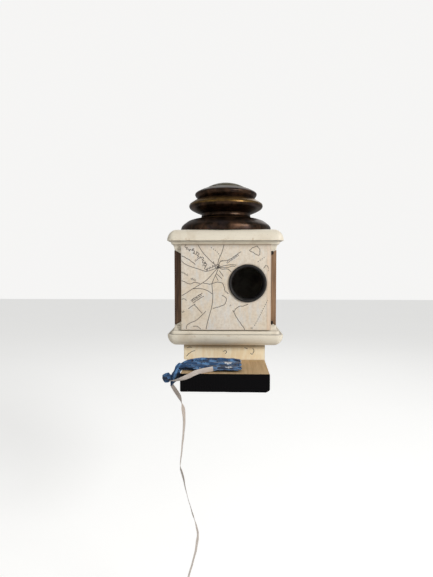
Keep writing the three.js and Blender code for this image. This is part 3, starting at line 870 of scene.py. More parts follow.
DOOR_SPOKES = [
    [(-7.4, 22.3), (-2.2, 14.8)],
    [(-11.5, 18.6), (-4.1, 12)],
    [(-12.5, 16.7), (-8.8, 9.2)],
    [(-8.8, 26.5), (-6.6, 33), (-3, 35.5)],
    [(-8.8, 26.5), (-14, 31), (-15, 34)],
]
DOOR_RIVER = [
    (-51.5, 55.4), (-47.1, 48.5), (-41.5, 49.9), (-39.6, 43.8), (-35, 45.7), (-34.5, 39.6), (-29.4, 38.7),
    (-27.9, 33.5), (-24.7, 31.6), (-25.6, 27), (-23.7, 23.2), (-19.1, 26), (-13.4, 28.8),
]
DOOR_TRACKS = [
    [(-6, 34.5), (5.3, 36.3), (20.3, 46.6)],
    [(-57.2, 10.1), (-50.9, 7.3), (-45.3, 5), (-38.7, 7.3), (-32.2, 5.4)],
    [(-28.4, 6.4), (-19.1, 5), (-11.6, 7.3), (-4.1, 6.4), (-1.3, 1.7), (-0.3, -3), (4.3, -7.7)],
    [(-15.8, -26.4), (-6.9, -24), (-0.3, -20.8), (1.5, -13.3), (-4.1, -9.5)],
    [(10, -28.3), (14.6, -37.6), (20.3, -46), (26.5, -54.8)],
    [(10.9, -31.1), (16.5, -24.5), (24, -23.1), (29.6, -20.8)],
    [(-44.3, -16.1), (-29.4, -6.7)],
    [(-41.5, -19.4), (-27.5, -10.5)],
    [(-39.6, -21.7), (-29.4, -32.9)],
    [(-47.6, -26.9), (-38.7, -20.8)],
    [(49.3, 25.1), (52.1, 28.8), (55.0, 27), (55.2, 21.4)],
    [(-57, 42), (-46, 36), (-38, 30)],
    [(31, 48), (36.5, 45), (43, 41.6), (44.5, 48), (41, 53.8)],
    [(31, 48), (35.5, 51.5), (41, 53.8)],
]
DOOR_DOTTED = [
    [(54.9, -15.2), (51.1, -22.6), (47.4, -30.1), (43.7, -37.6), (40.9, -43.2), (37.1, -49.8)],
    [(41.8, 33.5), (50.2, 39.1)],
    [(-18, 52), (-10, 46), (-6, 40)],
]
RISER_TRACKS = [
    [(36.5, -80), (38, -84), (36, -88.5), (33.5, -87)],
    [(25.5, -79.4), (27, -80), (29.5, -81.5)],
    [(-51, -80.4), (-48, -79.6), (-44.5, -80)],
    [(-3, -85), (0.5, -84), (2, -86.5), (0, -88)],
    [(-52, -92), (-46, -86.5), (-40, -84)],
]


def ruffled(route, amplitude, pitch):
    """The route again with small sideways waves, as a river is drawn."""
    route = spline([Vector(p) for p in route], pitch / 6)
    waved = []
    for i, here in enumerate(route):
        along = route[min(i + 1, len(route) - 1)] - route[max(i - 1, 0)]
        across = Vector((-along.y, along.x)).normalized()
        waved.append(here + across * amplitude * math.sin(i * math.tau / 6 + 0.9 * math.sin(i * 0.7)))
    return waved


def oval(centre, wide, tall):
    return [(centre[0] + wide * math.cos(a), centre[1] + tall * math.sin(a)) for a in np.linspace(0, math.tau, 15)]


def dashes(route, dash, gap):
    line = spline([Vector(p) for p in route], 0.5)
    every = round((dash + gap) / 0.5)
    return [line[i : i + round(dash / 0.5) + 1] for i in range(0, len(line) - 2, every)]


def hatching(start, end, height, step):
    """Short strokes side by side between two places, in place of any wording."""
    start, end = Vector(start), Vector(end)
    along = (end - start).normalized()
    across = Vector((-along.y, along.x))
    strokes = []
    for i in range(int((end - start).length / step)):
        foot = start + along * step * i
        tall = height * (0.6 + 0.4 * math.sin(i * 2.3))
        strokes.append([foot, foot + across * tall + along * step * 0.3 * math.sin(i * 1.7)])
    return strokes


def ink_tree():
    """Geometry Nodes that turn routes into thin flat printed lines on a surface that faces -Y."""
    tree = bpy.data.node_groups.new("printed lines", "GeometryNodeTree")
    for label, kind in (("Geometry", "Geometry"), ("Width", "Float"), ("Thickness", "Float"), ("Ink", "Material")):
        tree.interface.new_socket(label, in_out="INPUT", socket_type=f"NodeSocket{kind}")
    tree.interface.new_socket("Geometry", in_out="OUTPUT", socket_type="NodeSocketGeometry")
    given = tree.nodes.new("NodeGroupInput").outputs
    facing = node(
        tree, "GeometryNodeSetCurveNormal", {"Curve": given["Geometry"], "Normal": (0, -1, 0)}, mode="FREE"
    ).outputs[0]
    section = node(
        tree, "GeometryNodeCurvePrimitiveQuadrilateral", {0: given["Thickness"], 1: given["Width"]}, mode="RECTANGLE"
    ).outputs[0]
    strip = node(tree, "GeometryNodeCurveToMesh", {"Curve": facing, "Profile Curve": section, "Fill Caps": True})
    flat = node(tree, "GeometryNodeSetShadeSmooth", {"Geometry": strip.outputs[0], "Shade Smooth": False}).outputs[0]
    whole = node(tree, "GeometryNodeRealizeInstances", {"Geometry": flat}).outputs[0]
    inked = node(tree, "GeometryNodeSetMaterial", {"Geometry": whole, "Material": given["Ink"]}).outputs[0]
    tree.links.new(inked, tree.nodes.new("NodeGroupOutput").inputs[0])
    return tree


def with_tree(piece, tree, **inputs):
    """The piece with a Geometry Nodes tree run on it and applied."""
    nodes = piece.modifiers.new(tree.name, "NODES")
    nodes.node_group = tree
    labels = {item.name: item.identifier for item in tree.interface.items_tree if item.in_out == "INPUT"}
    for label, value in inputs.items():
        nodes[labels[label.replace("_", " ").capitalize()]] = value
    return applied(piece)


def printed(name, strokes, surface, body):
    """Ink strokes, each (points, width share), laid on a paper whose y at (x, z) is surface(x, z), in mm."""
    curve = bpy.data.curves.new(name, "CURVE")
    curve.dimensions = "3D"
    piece = bpy.data.objects.new(name, curve)
    bpy.context.scene.collection.objects.link(piece)
    lift = sizes().ink_lift / MM
    for route, share in strokes:
        route = spline([Vector(p) for p in route], 0.8)
        line = curve.splines.new("POLY")
        line.points.add(len(route) - 1)
        for point, (x, z) in zip(line.points, route):
            point.co = (x * MM, (surface(x, z) - lift) * MM, z * MM, 1)
            point.radius = share * (1 + 0.25 * noise.noise(Vector((x, 0.5, z)) * 0.4))
    piece = with_tree(
        piece, bpy.data.node_groups.get("printed lines") or ink_tree(),
        Width=sizes().ink_width, Thickness=sizes().ink_lift * 1.6, Ink=printed_ink(),
    )
    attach(piece, body)
    return piece


def paper_sheet(name, node_name, body, hole=None, wraps_right=0.0):
    """Glued map paper over a board's front, as a closed thin shell with torn-soft edges."""
    low, high = span(node_name)
    height = sizes().paper_relief / MM
    back = high.y / MM
    x0, x1, z0, z1 = low.x / MM, high.x / MM, low.z / MM, high.z / MM
    columns = [x0 + (x1 - x0) * i / round((x1 - x0) / 1.25) for i in range(round((x1 - x0) / 1.25) + 1)]
    rows = [z0 + (z1 - z0) * i / round((z1 - z0) / 1.25) for i in range(round((z1 - z0) / 1.25) + 1)]
    points = [(x * MM, 0, z * MM) for z in rows for x in columns]
    wide = len(columns)
    faces = [
        (r * wide + c, r * wide + c + 1, (r + 1) * wide + c + 1, (r + 1) * wide + c)
        for r in range(len(rows) - 1)
        for c in range(wide - 1)
    ]
    if hole:
        x, z, radius = hole
        keep = []
        for face in faces:
            inside = [math.hypot(points[i][0] / MM - x, points[i][2] / MM - z) < radius + 0.4 for i in face]
            if not all(inside):
                keep.append(face)
        faces = keep
        for i, (px, _, pz) in enumerate(points):
            away = Vector((px / MM - x, pz / MM - z))
            if away.length < radius + 0.4:
                away = away.normalized() * radius if away.length > 1e-6 else away
                points[i] = ((x + away.x) * MM, 0, (z + away.y) * MM)
    lowered = []
    for px, _, pz in points:
        px, pz = px / MM, pz / MM
        lowered.append((px * MM, (back - 0.05 - relief(px, pz, height)) * MM, pz * MM))
    points = lowered
    if wraps_right:
        base = len(points)
        wrap = [(0.15, 0.25), (0.25, 0.8), (0.25, wraps_right)]
        for out, deep in wrap:
            points += [((x1 + out) * MM, (back + deep - 0.1) * MM, z * MM) for z in rows]
        edge = [r * wide + wide - 1 for r in range(len(rows))]
        for _ in wrap:
            new = list(range(base, base + len(rows)))
            faces += [(edge[r], new[r], new[r + 1], edge[r + 1]) for r in range(len(rows) - 1)]
            edge, base = new, base + len(rows)
    piece = new_piece(name, points, faces, map_paper())
    shape = bmesh.new()
    shape.from_mesh(piece.data)
    bmesh.ops.delete(shape, geom=[v for v in shape.verts if not v.link_faces], context="VERTS")
    bmesh.ops.dissolve_degenerate(shape, dist=1e-6, edges=shape.edges)
    shape.to_mesh(piece.data)
    shape.free()
    # Darkening for the paper's colour: darker along its left, right and bottom edges and round the pipe's hole; a
    # painted shadow along its top, cast by the plaque above; and painted shade in the crease by the door's right edge
    darkening = []
    for v in piece.data.vertices:
        x, z = v.co.x / MM, v.co.z / MM
        near = min(x - x0, x1 - x, z - z0)
        ring = math.hypot(x - hole[0], z - hole[1]) - hole[2] if hole else 99
        shadowed = 1.7 * math.exp(-(z1 - z) / 2.1) if hole else 1.2 * math.exp(-(((z1 - z) / 4.2) ** 2))
        # Painted shade along the crease near the right edge
        fold = 0.3 * math.exp(-(((x1 - x - 4.6) / 0.7) ** 2)) if hole else 0.0
        darkening.append(max(0.0, 0.45 - near * 0.28, 0.6 - ring * 0.3, shadowed, fold))
    piece.data.attributes.new("grime", "FLOAT", "POINT").data.foreach_set("value", darkening)
    shell = piece.modifiers.new("paper", "SOLIDIFY")
    shell.thickness, shell.offset = 0.12 * MM, -1
    piece = applied(piece)
    return stand_for(crisp(piece, 50), body, node_name, slot="map_paper")


def paper_surface(node_name):
    back = span(node_name)[1].y / MM
    height = sizes().paper_relief / MM
    return lambda x, z: back - 0.05 - relief(x, z, height)


def outside_pipe(strokes):
    """The strokes without what would run under the pipe or past the paper's left and bottom edges."""
    corner = span("door_map_paper")[0] / MM + Vector((0.3, 0, 0.3))
    low, high = span("entrance_pipe")
    x, z, radius = (low.x + high.x) / 2 / MM, (low.z + high.z) / 2 / MM, (high.x - low.x) / 2 / MM + 0.6
    kept = []
    for route, share in strokes:
        run = []
        for point in spline([Vector(p) for p in route], 0.8):
            on_paper = point.x > corner.x and point.y > corner.z
            if on_paper and math.hypot(point.x - x, point.y - z) > radius:
                run.append(point)
            elif len(run) > 2:
                break
            else:
                run = []
        if len(run) > 2:
            kept.append((run, share))
    return kept


class BIRDHOUSE_OT_map_paper(bpy.types.Operator):
    """Makes the map paper on the door and the riser, with its printed lines"""

    bl_idname = "birdhouse.map_paper"
    bl_label = "Map paper"

    def execute(self, context):
        low, high = span("entrance_pipe")
        hole = ((low.x + high.x) / 2 / MM, (low.z + high.z) / 2 / MM, (high.x - low.x) / 2 / MM + 0.25)
        paper_sheet("door_map_sheet", "door_map_paper", "door", hole, wraps_right=4.2)
        strokes = [(road, 1.3) for road in DOOR_ROADS] + [(spoke, 1.6) for spoke in DOOR_SPOKES]
        strokes += [(ruffled(DOOR_RIVER, 1.4, 3.4), 1.5), (oval((-53.6, -16.6), 3.4, 2.5), 1.9)]
        strokes += [(oval((-8.8, 26.5), 1.5, 1.5), 2.6), (oval((-9.5, 27.5), 3.0, 2.4), 1.1)]
        strokes += [(ruffled(track, 0.35, 2.3), 0.42) for track in DOOR_TRACKS]
        strokes += [(dash, 0.7) for route in DOOR_DOTTED for dash in dashes(route, 1.5, 1.5)]
        for start, end, tall in (
            ((-42, -18), (-29, -9.6), 3.2), ((3, 31.5), (19, 42.5), 2.6), ((-38, 34), (-33, 37), 2.4),
            ((-56, 19.5), (-47, 15), 2.2), ((-44, 11), (-36, 8), 3.0), ((-28, 28), (-24, 33), 2.2),
            ((-56, -33), (-51, -30), 2.4), ((6.5, -23.5), (9.5, -21.5), 1.5), ((33, -52), (37.5, -54), 2.0),
        ):
            strokes += [(stroke, 0.36) for stroke in hatching(start, end, tall, 1.25)]
        printed("door_map_lines", outside_pipe(strokes), paper_surface("door_map_paper"), "door")

        paper_sheet("riser_map_sheet", "riser_map_paper", "house")
        strokes = [(ruffled(track, 0.3, 2.0), 0.32) for track in RISER_TRACKS]
        printed("riser_map_lines", strokes, paper_surface("riser_map_paper"), "house")
        return {"FINISHED"}


# Pipe, hinges and screws


class BIRDHOUSE_OT_pipe(bpy.types.Operator):
    """Makes the plastic pipe that lines the entrance"""

    bl_idname = "birdhouse.pipe"
    bl_label = "Entrance pipe"

    def execute(self, context):
        low, high = span("entrance_pipe")
        centre = ((low.x + high.x) / 2, 0, (low.z + high.z) / 2)
        outer = (high.x - low.x) / 2
        inner = outer - 3.65 * MM
        front, rear = low.y, high.y
        profile = [
            (inner, rear), (outer, rear), (outer, front + 0.9 * MM), (outer - 0.9 * MM, front),
            (inner + 1.5 * MM, front), (inner + 0.3 * MM, front + 1.4 * MM), (inner, front + 2.4 * MM),
        ]
        piece = turned("entrance_pipe_wall", rounded(profile, 0.5 * MM), centre, black_plastic(), axis="Y")
        stand_for(piece, "door", "entrance_pipe", slot="black_plastic")
        return {"FINISHED"}


class BIRDHOUSE_OT_hinges(bpy.types.Operator):
    """Makes the wire eyes and pins of the door's two hinges"""

    bl_idname = "birdhouse.hinges"
    bl_label = "Hinges"

    def execute(self, context):
        for level in ("top", "bottom"):
            for part, body in (("frame_eye", "house"), ("door_eye", "door"), ("pin", "house")):
                name = f"hinge_{level}_{part}"
                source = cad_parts[name]
                piece = bpy.data.objects.new(f"{name}_wire", source.data.copy())
                bpy.context.scene.collection.objects.link(piece)
                piece.data.materials.clear()
                piece.data.materials.append(dark_wire())
                shape = bmesh.new()
                shape.from_mesh(piece.data)
                bmesh.ops.remove_doubles(shape, verts=shape.verts, dist=2e-6)
                bmesh.ops.dissolve_limit(
                    shape, angle_limit=math.radians(1), verts=shape.verts, edges=shape.edges
                )
                shape.to_mesh(piece.data)
                shape.free()
                piece = bevelled(piece, 0.12 * MM, 2, 50)
                stand_for(crisp(piece, 50), body, name, slot="dark_steel")
        return {"FINISHED"}


def wood_screw(name, long, shank, head, pitch):
    """A countersunk screw, point up, its head's face at z = 0, with ridges for threads and a cross recess."""
    profile = [(0, 0), (head - 0.25 * MM, 0), (head, 0.25 * MM), (shank, 2.6 * MM)]
    place = 12 * MM
    while place < long - 6 * MM:
        profile += [(shank * 0.72, place), (shank * 0.95, place + pitch * 0.42), (shank * 0.72, place + pitch * 0.8)]
        place += pitch
    profile += [(shank * 0.55, long - 4 * MM), (0, long)]
    piece = turned(name, profile, (0, 0, 0), plated_steel(), segments=20)
    cutters = []
    for turn in (0, math.pi / 2):
        box = bmesh.new()
        bmesh.ops.create_cube(box, size=1)
        across = Matrix.Diagonal((4.4 * MM, 0.9 * MM, 3.0 * MM, 1))
        bmesh.ops.transform(box, matrix=Matrix.Rotation(turn, 4, "Z") @ across, verts=box.verts)
        mesh = bpy.data.meshes.new("slot")
        box.to_mesh(mesh)
        box.free()
        cutters.append(bpy.data.objects.new("slot", mesh))
        bpy.context.scene.collection.objects.link(cutters[-1])
    return crisp(carved(piece, cutters), 30)


def screw_tree():
    """Geometry Nodes that stand one screw on each point, each turned about its own axis."""
    tree = bpy.data.node_groups.new("set screws", "GeometryNodeTree")
    for label, kind in (("Geometry", "Geometry"), ("Screw", "Object"), ("Flip", "Float"), ("Metal", "Material")):
        tree.interface.new_socket(label, in_out="INPUT", socket_type=f"NodeSocket{kind}")
    tree.interface.new_socket("Geometry", in_out="OUTPUT", socket_type="NodeSocketGeometry")
    given = tree.nodes.new("NodeGroupInput").outputs
    screw = node(tree, "GeometryNodeObjectInfo", {"Object": given["Screw"]}).outputs["Geometry"]
    spin = node(tree, "FunctionNodeRandomValue", {"Min": 0.0, "Max": math.tau, "Seed": 11}, data_type="FLOAT")
    turn = node(tree, "ShaderNodeCombineXYZ", {0: given["Flip"], 1: 0.0, 2: spin.outputs[1]}).outputs[0]
    points = node(tree, "GeometryNodeMeshToPoints", {"Mesh": given["Geometry"]}).outputs[0]
    set_out = node(
        tree, "GeometryNodeInstanceOnPoints", {"Points": points, "Instance": screw, "Rotation": turn}
    ).outputs[0]
    whole = node(tree, "GeometryNodeRealizeInstances", {"Geometry": set_out}).outputs[0]
    done = node(tree, "GeometryNodeSetMaterial", {"Geometry": whole, "Material": given["Metal"]}).outputs[0]
    tree.links.new(done, tree.nodes.new("NodeGroupOutput").inputs[0])
    return tree


class BIRDHOUSE_OT_screws(bpy.types.Operator):
    """Sets the countersunk wood screws in the plaques and the platform"""

    bl_idname = "birdhouse.screws"
    bl_label = "Screws"

    def execute(self, context):
        tree = screw_tree()
        for kind, down in (("roof_screw", True), ("floor_screw", False), ("platform_screw", False)):
            names = sorted(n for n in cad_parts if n.startswith(kind))
            boxes = [span(n) for n in names]
            low, high = boxes[0]
            screw = wood_screw(f"{kind}_one", high.z - low.z, 2 * MM, (high.x - low.x) / 2, sizes().thread_pitch)
            heads = [((a.x + b.x) / 2, (a.y + b.y) / 2, b.z if down else a.z) for a, b in boxes]
            piece = new_piece(f"{kind}s_set", heads, [], plated_steel(), smooth=False)
            piece = with_tree(piece, tree, Screw=screw, Flip=math.pi if down else 0.0, Metal=plated_steel())
            bpy.data.objects.remove(screw)
            stand_for(piece, "house", *names, slot="steel")
        return {"FINISHED"}


# The landing platform


class BIRDHOUSE_OT_platform(bpy.types.Operator):
    """Makes the sawn board of the landing platform, with its painted, chipped front end"""

    bl_idname = "birdhouse.platform"
    bl_label = "Platform"

    def execute(self, context):
        low, high = span("platform_board")
        depth = sizes().saw_mark
        long_steps = [low.y, low.y + 0.5 * MM, low.y + 1.2 * MM, *np.linspace(low.y + 2.5 * MM, high.y, 22)]
        across = np.linspace(low.x, high.x, 209)
        upward = np.linspace(low.z, high.z, 39)
        outline = [(x, low.z) for x in across] + [(high.x, z) for z in upward[1:]]
        outline += [(x, high.z) for x in across[::-1][1:]] + [(low.x, z) for z in upward[::-1][1:-1]]
        points, painted = [], []

        def eased(x, z, radius):
            """Pulls a point of the outline in to rounded long edges."""
            cx = min(max(x, low.x + radius), high.x - radius)
            cz = min(max(z, low.z + radius), high.z - radius)
            away = Vector((x - cx, z - cz))
            if away.length > radius and away.x and away.y:
                away = away.normalized() * radius
            return cx + away.x, cz + away.y

        def chipped(x, y, z):
            """The broken lower right front corner."""
            reach = (high.x - x) / (4.5 * MM) + (z - low.z) / (3.4 * MM) + (y - low.y) / (6 * MM)
            if reach < 1:
                pull = (1 - reach) * 2.2 * MM
                return x - pull * 0.7, y + pull * 0.4, z + pull * 0.7
            return x, y, z

        for y in long_steps:
            for x, z in outline:
                wander = noise.fractal(Vector((x, y * 0.15, z)) * 90, 1.0, 2.0, 3) * 0.12 * MM
                near = max(0.0, 1 - (y - low.y) / (1.2 * MM))
                ex, ez = eased(x, z, 0.9 * MM + near * 0.8 * MM)
                if ez >= high.z - 0.2 * MM and abs(x - low.x) > MM and abs(x - high.x) > MM:
                    ez -= abs(wander)
                else:
                    ez += wander if z < high.z - MM else 0
                points.append(chipped(ex, y, ez))
                ragged = noise.noise(Vector((x * 160, z * 160, 4.0))) * 0.6 * MM
                painted.append(1.0 if y < low.y + 1.6 * MM + ragged else 0.0)
        count = len(outline)
        faces = []
        for ring in range(len(long_steps) - 1):
            for i in range(count):
                j = (i + 1) % count
                faces.append((ring * count + i, ring * count + j, (ring + 1) * count + j, (ring + 1) * count + i))
        faces.append(tuple(range(count * (len(long_steps) - 1), count * len(long_steps))))
        inner_x, inner_z = across[1:-1], upward[1:-1]
        first = len(points)
        for z in inner_z:
            for x in inner_x:
                slant = x * 0.34 + z
                cut = math.sin(slant / MM * 2.6 + 2 * noise.noise(Vector((x, 0, z)) * 60))
                straight = math.sin(x / MM * 1.9 + 1.5 * noise.noise(Vector((x, 2, z)) * 45))
                rough = noise.fractal(Vector((x, 1.0, z)) * 700, 0.8, 2.0, 3)
                mix = 0.5 + 0.5 * math.tanh((x - 5 * MM) / (12 * MM))
                rise = cut * mix + straight * (1 - mix) * 0.6 + rough * 0.5
                points.append(chipped(x, low.y + depth * (0.5 - 0.42 * rise), z))
                painted.append(1.0)
        wide = len(inner_x)
        grid = [[first + r * wide + c for c in range(wide)] for r in range(len(inner_z))]
        last = len(across) - 1
        rows = [[i for i in range(last + 1)]]
        for r in range(len(inner_z)):
            left = count - 1 - r
            rows.append([left, *grid[r], last + 1 + r])
        top_start = last + len(upward) - 1
        rows.append([top_start + last - i for i in range(last + 1)])
        for a, b in zip(rows, rows[1:]):
            for c in range(last):
                faces.append((a[c], b[c], b[c + 1], a[c + 1]))
        piece = new_piece("platform_sawn_board", points, faces, bare_board())
        piece.data.attributes.new("painted", "FLOAT", "POINT").data.foreach_set("value", painted)
        piece = out_facing(piece)
        cutters = []
        for screw in (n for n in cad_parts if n.startswith("platform_screw")):
            a, b = span(screw)
            cutters.append(
                cylinder(
                    "cutter", (b.x - a.x) / 2 + 0.3 * MM, low.z - MM, low.z + 1.3 * MM, (a + b) / 2, bare_board(), 32
                )
            )
        piece = crisp(carved(piece, cutters), 40)
        stand_for(piece, "house", "platform_board", slot="bare_wood")
        return {"FINISHED"}


# The finial


def turned_metal(name, node_name, shares, inside, rub=(), green=()):
    """A turned piece whose outer profile is given in shares of its CAD node's radius and height.

    inside closes the profile on the way back, in the same shares. rub and green are spans of height, also
    in shares, where handling has worn it bright or damp has turned it green.
    """
    low, high = span(node_name)
    radius, tall = (high.x - low.x) / 2, high.z - low.z
    outer = spline([(r * radius, low.z + h * tall) for r, h in shares], 0.9 * MM)
    profile = [*outer, *[Vector((r * radius, low.z + h * tall)) for r, h in inside]]
    centre = ((low.x + high.x) / 2, (low.y + high.y) / 2, 0)
    piece = turned(name, profile, centre, patinated_metal())
    for label, spans in (("rub", rub), ("green", green)):
        values = []
        for v in piece.data.vertices:
            share = (v.co.z - low.z) / tall
            fade = [1 - min(1, abs(share - middle) / reach) for middle, reach in spans]
            values.append(max(fade, default=0))
        piece.data.attributes.new(label, "FLOAT", "POINT").data.foreach_set("value", values)
    slot = "worn_brass" if node_name == "finial_ring_disc" else "bronze"
    return stand_for(piece, "house", node_name, slot=slot)


class BIRDHOUSE_OT_finial(bpy.types.Operator):
    """Makes the four turned pieces of the finial and the rod, washer and nut that hold them"""

    bl_idname = "birdhouse.finial"
    bl_label = "Finial"

    def execute(self, context):
        turned_metal(
            "finial_base_dome", "finial_base",
            [(0.98, 0), (0.99, 0.03), (0.992, 0.2), (0.985, 0.32), (0.965, 0.42), (0.93, 0.52), (0.885, 0.62),
             (0.835, 0.72), (0.78, 0.79), (0.72, 0.84), (0.65, 0.885), (0.6, 0.92), (0.565, 0.96), (0.548, 1)],
            [(0.06, 1), (0.06, 0.86), (0.47, 0.86), (0.89, 0.47), (0.95, 0.25), (0.95, 0)],
            rub=[(0.86, 0.05)],
        )
        turned_metal(
            "finial_neck_collar", "finial_neck",
            [(0.97, 0), (0.985, 0.15), (0.975, 0.45), (0.975, 0.6), (0.99, 0.85), (1, 0.97), (0.99, 1)],
            [(0.86, 1), (0.86, 0)],
        )
        turned_metal(
            "finial_ring_disc_rim", "finial_ring_disc",
            [(0.734, 0), (0.82, 0.09), (0.88, 0.16), (0.93, 0.235), (0.967, 0.3), (0.988, 0.37), (1, 0.45), (1, 0.52),
             (0.99, 0.6), (0.975, 0.65), (0.94, 0.715), (0.9, 0.785), (0.855, 0.855), (0.81, 0.925), (0.775, 0.98),
             (0.765, 1)],
            [(0.7, 1), (0.7, 0.88), (0.91, 0.53), (0.7, 0.15), (0.065, 0.15), (0.065, 0)],
            rub=[(0.72, 0.2), (0.56, 0.1)],
        )
        turned_metal(
            "finial_cap_dome", "finial_cap",
            [(0.915, 0), (0.945, 0.06), (0.975, 0.13), (0.99, 0.185), (1, 0.24), (0.995, 0.3), (0.97, 0.355),
             (0.93, 0.41), (0.87, 0.47), (0.79, 0.54), (0.7, 0.605), (0.64, 0.64), (0.612, 0.655), (0.602, 0.685),
             (0.585, 0.71), (0.52, 0.77), (0.42, 0.85), (0.3, 0.915), (0.14, 0.975), (0.05, 0.995), (0, 1)],
            [(0, 0.53), (0.075, 0.53), (0.075, 0.27), (0.18, 0.27), (0.18, 0.66), (0.84, 0.25), (0.84, 0)],
            green=[(0.8, 0.42)],
        )
        low, high = span("finial_rod")
        middle = ((low.x + high.x) / 2, (low.y + high.y) / 2, 0)
        radius, pitch = (high.x - low.x) / 2, 1.0 * MM
        profile, place = [(0, low.z), (radius * 0.8, low.z)], low.z + 0.6 * MM
        while place < high.z - pitch:
            profile += [(radius * 0.86, place), (radius, place + pitch * 0.5)]
            place += pitch
        profile += [(radius * 0.8, high.z), (0, high.z)]
        rod = turned("finial_threaded_rod", profile, middle, plated_steel(), segments=28)
        stand_for(rod, "house", "finial_rod", slot="steel")
        for name, kind in (("rod_washer", 0.25), ("rod_nut", 0.45)):
            eased_board(name, "house", plated_steel(), "steel", kind * MM, name=f"{name}_steel")
        return {"FINISHED"}


# The ribbon: its routes are those of the frame's two ribbon solids

RIBBON_END_ROUTE = [
    (-62.4, -189.5, -107), (-58, -195.5, -105.6), (-50.2, -202.4, -102), (-40.2, -202.6, -98),
    (-33.1, -200.8, -94.7), (-24.1, -195.5, -93.5), (-13.1, -190.5, -92.4),
]
RIBBON_TAIL_ROUTE = [
    (-63.2, -184, -112.8), (-58.3, -184, -120.6), (-52.7, -184, -130.4), (-48.6, -184.5, -145.7),
    (-48, -185, -161), (-49.2, -185, -176.3), (-51.6, -184.5, -199.4), (-52.7, -184, -212.4),
    (-49.8, -183.5, -225.5), (-45.7, -183, -245.5), (-39.6, -183, -267.3), (-32.8, -183.5, -290.7),
    (-32.2, -184, -299.9), (-34.3, -184.5, -315.7), (-38.3, -185, -331.5), (-43.7, -185, -350.4),
    (-48.2, -184.5, -364), (-50.4, -184, -375),
]
# How far the ribbon has turned about its own line, in degrees, at shares of its length; at 0 it faces the front
RIBBON_END_TURNS = [(0, 66), (0.2, 48), (0.45, 20), (0.75, 0), (1, 0)]
RIBBON_TAIL_TURNS = [
    (0, 35), (0.03, 20), (0.065, 22), (0.09, 70), (0.12, 128), (0.15, 120), (0.2, 111), (0.29, 104), (0.37, 96),
    (0.40, 52), (0.44, 58), (0.5, 73), (0.57, 73), (0.61, 60), (0.66, 90), (0.73, 120), (0.8, 116), (0.88, 117),
    (1, 128),
]


def ribbon(name, node_name, route, turns):
    half, thick = sizes().ribbon_width / 2, sizes().ribbon_thickness
    line = spline([mm(*p) for p in route], 0.9 * MM)
    away = np.concatenate([[0], np.cumsum([(b - a).length for a, b in zip(line, line[1:])])])
    shares, angles = zip(*turns)
    cross = 7
    points, flat = [], []
    for i, here in enumerate(line):
        along = (line[min(i + 1, len(line) - 1)] - line[max(i - 1, 0)]).normalized()
        side = along.cross(Vector((0, 1, 0))).normalized()
        angle = math.radians(np.interp(away[i] / away[-1], shares, angles))
        side = Quaternion(along, angle) @ side
        face = along.cross(side)
        for k in np.linspace(-1, 1, cross):
            crown = 0.22 * MM * (1 - k * k) + 0.12 * MM * math.sin(away[i] / MM * 0.35 + k)
            points.append(here + side * half * k + face * crown)
            flat.append((away[i] / MM, half / MM * k))
    faces = [
        (r * cross + c, r * cross + c + 1, (r + 1) * cross + c + 1, (r + 1) * cross + c)
        for r in range(len(line) - 1)
        for c in range(cross - 1)
    ]
    piece = new_piece(name, points, faces, satin_ribbon())
    laid = piece.data.uv_layers.new(name="flat")
    for loop in piece.data.loops:
        laid.data[loop.index].uv = flat[loop.vertex_index]
    shell = piece.modifiers.new("satin", "SOLIDIFY")
    shell.thickness, shell.offset = thick, 0
    smooth = piece.modifiers.new("smooth", "SUBSURF")
    smooth.levels = smooth.render_levels = 1
    piece = applied(piece)
    stand_for(piece, "house", node_name, slot="ribbon")
    return piece


class BIRDHOUSE_OT_ribbon(bpy.types.Operator):
    """Makes the satin ribbon: the short end on the platform and the long hanging tail"""

    bl_idname = "birdhouse.ribbon"
    bl_label = "Ribbon"

    def execute(self, context):
        ribbon("ribbon_short_end", "ribbon_end", RIBBON_END_ROUTE, RIBBON_END_TURNS)
        ribbon("ribbon_hanging_tail", "ribbon_tail", RIBBON_TAIL_ROUTE, RIBBON_TAIL_TURNS)
        return {"FINISHED"}


# The cloth: a strip of cotton folded over on itself, with both its ends gathered into a knot

# Stations along the strip, in mm: x, y and z of its middle, its gathered width, and its slope to the front
CLOTH_STATIONS = [
    (-55, -176, -94.3, 9, 0.0),
    (-50, -174, -92.6, 26, 0.1),
    (-44, -171, -91.4, 39, 0.16),
    (-33, -168, -90.8, 44, 0.14),
    (-18, -167.5, -91.2, 46, 0.14),
    (-2, -168, -92.6, 47, 0.14),
    (10, -168.5, -93.0, 47, 0.13),
    (18, -168.5, -93.4, 45, 0.1),
    (20.2, -167, -94.4, 42, 0.05),
    (15, -160, -95.5, 34, 0.0),
    (4, -157, -95.8, 32, 0.0),
    (-8, -158, -95.8, 32, 0.0),
    (-22, -164, -95.8, 36, 0.0),
    (-36, -168, -95.8, 37, 0.0),
    (-47, -172, -95.8, 27, 0.0),
    (-54.5, -176, -97.2, 9, 0.0),
]


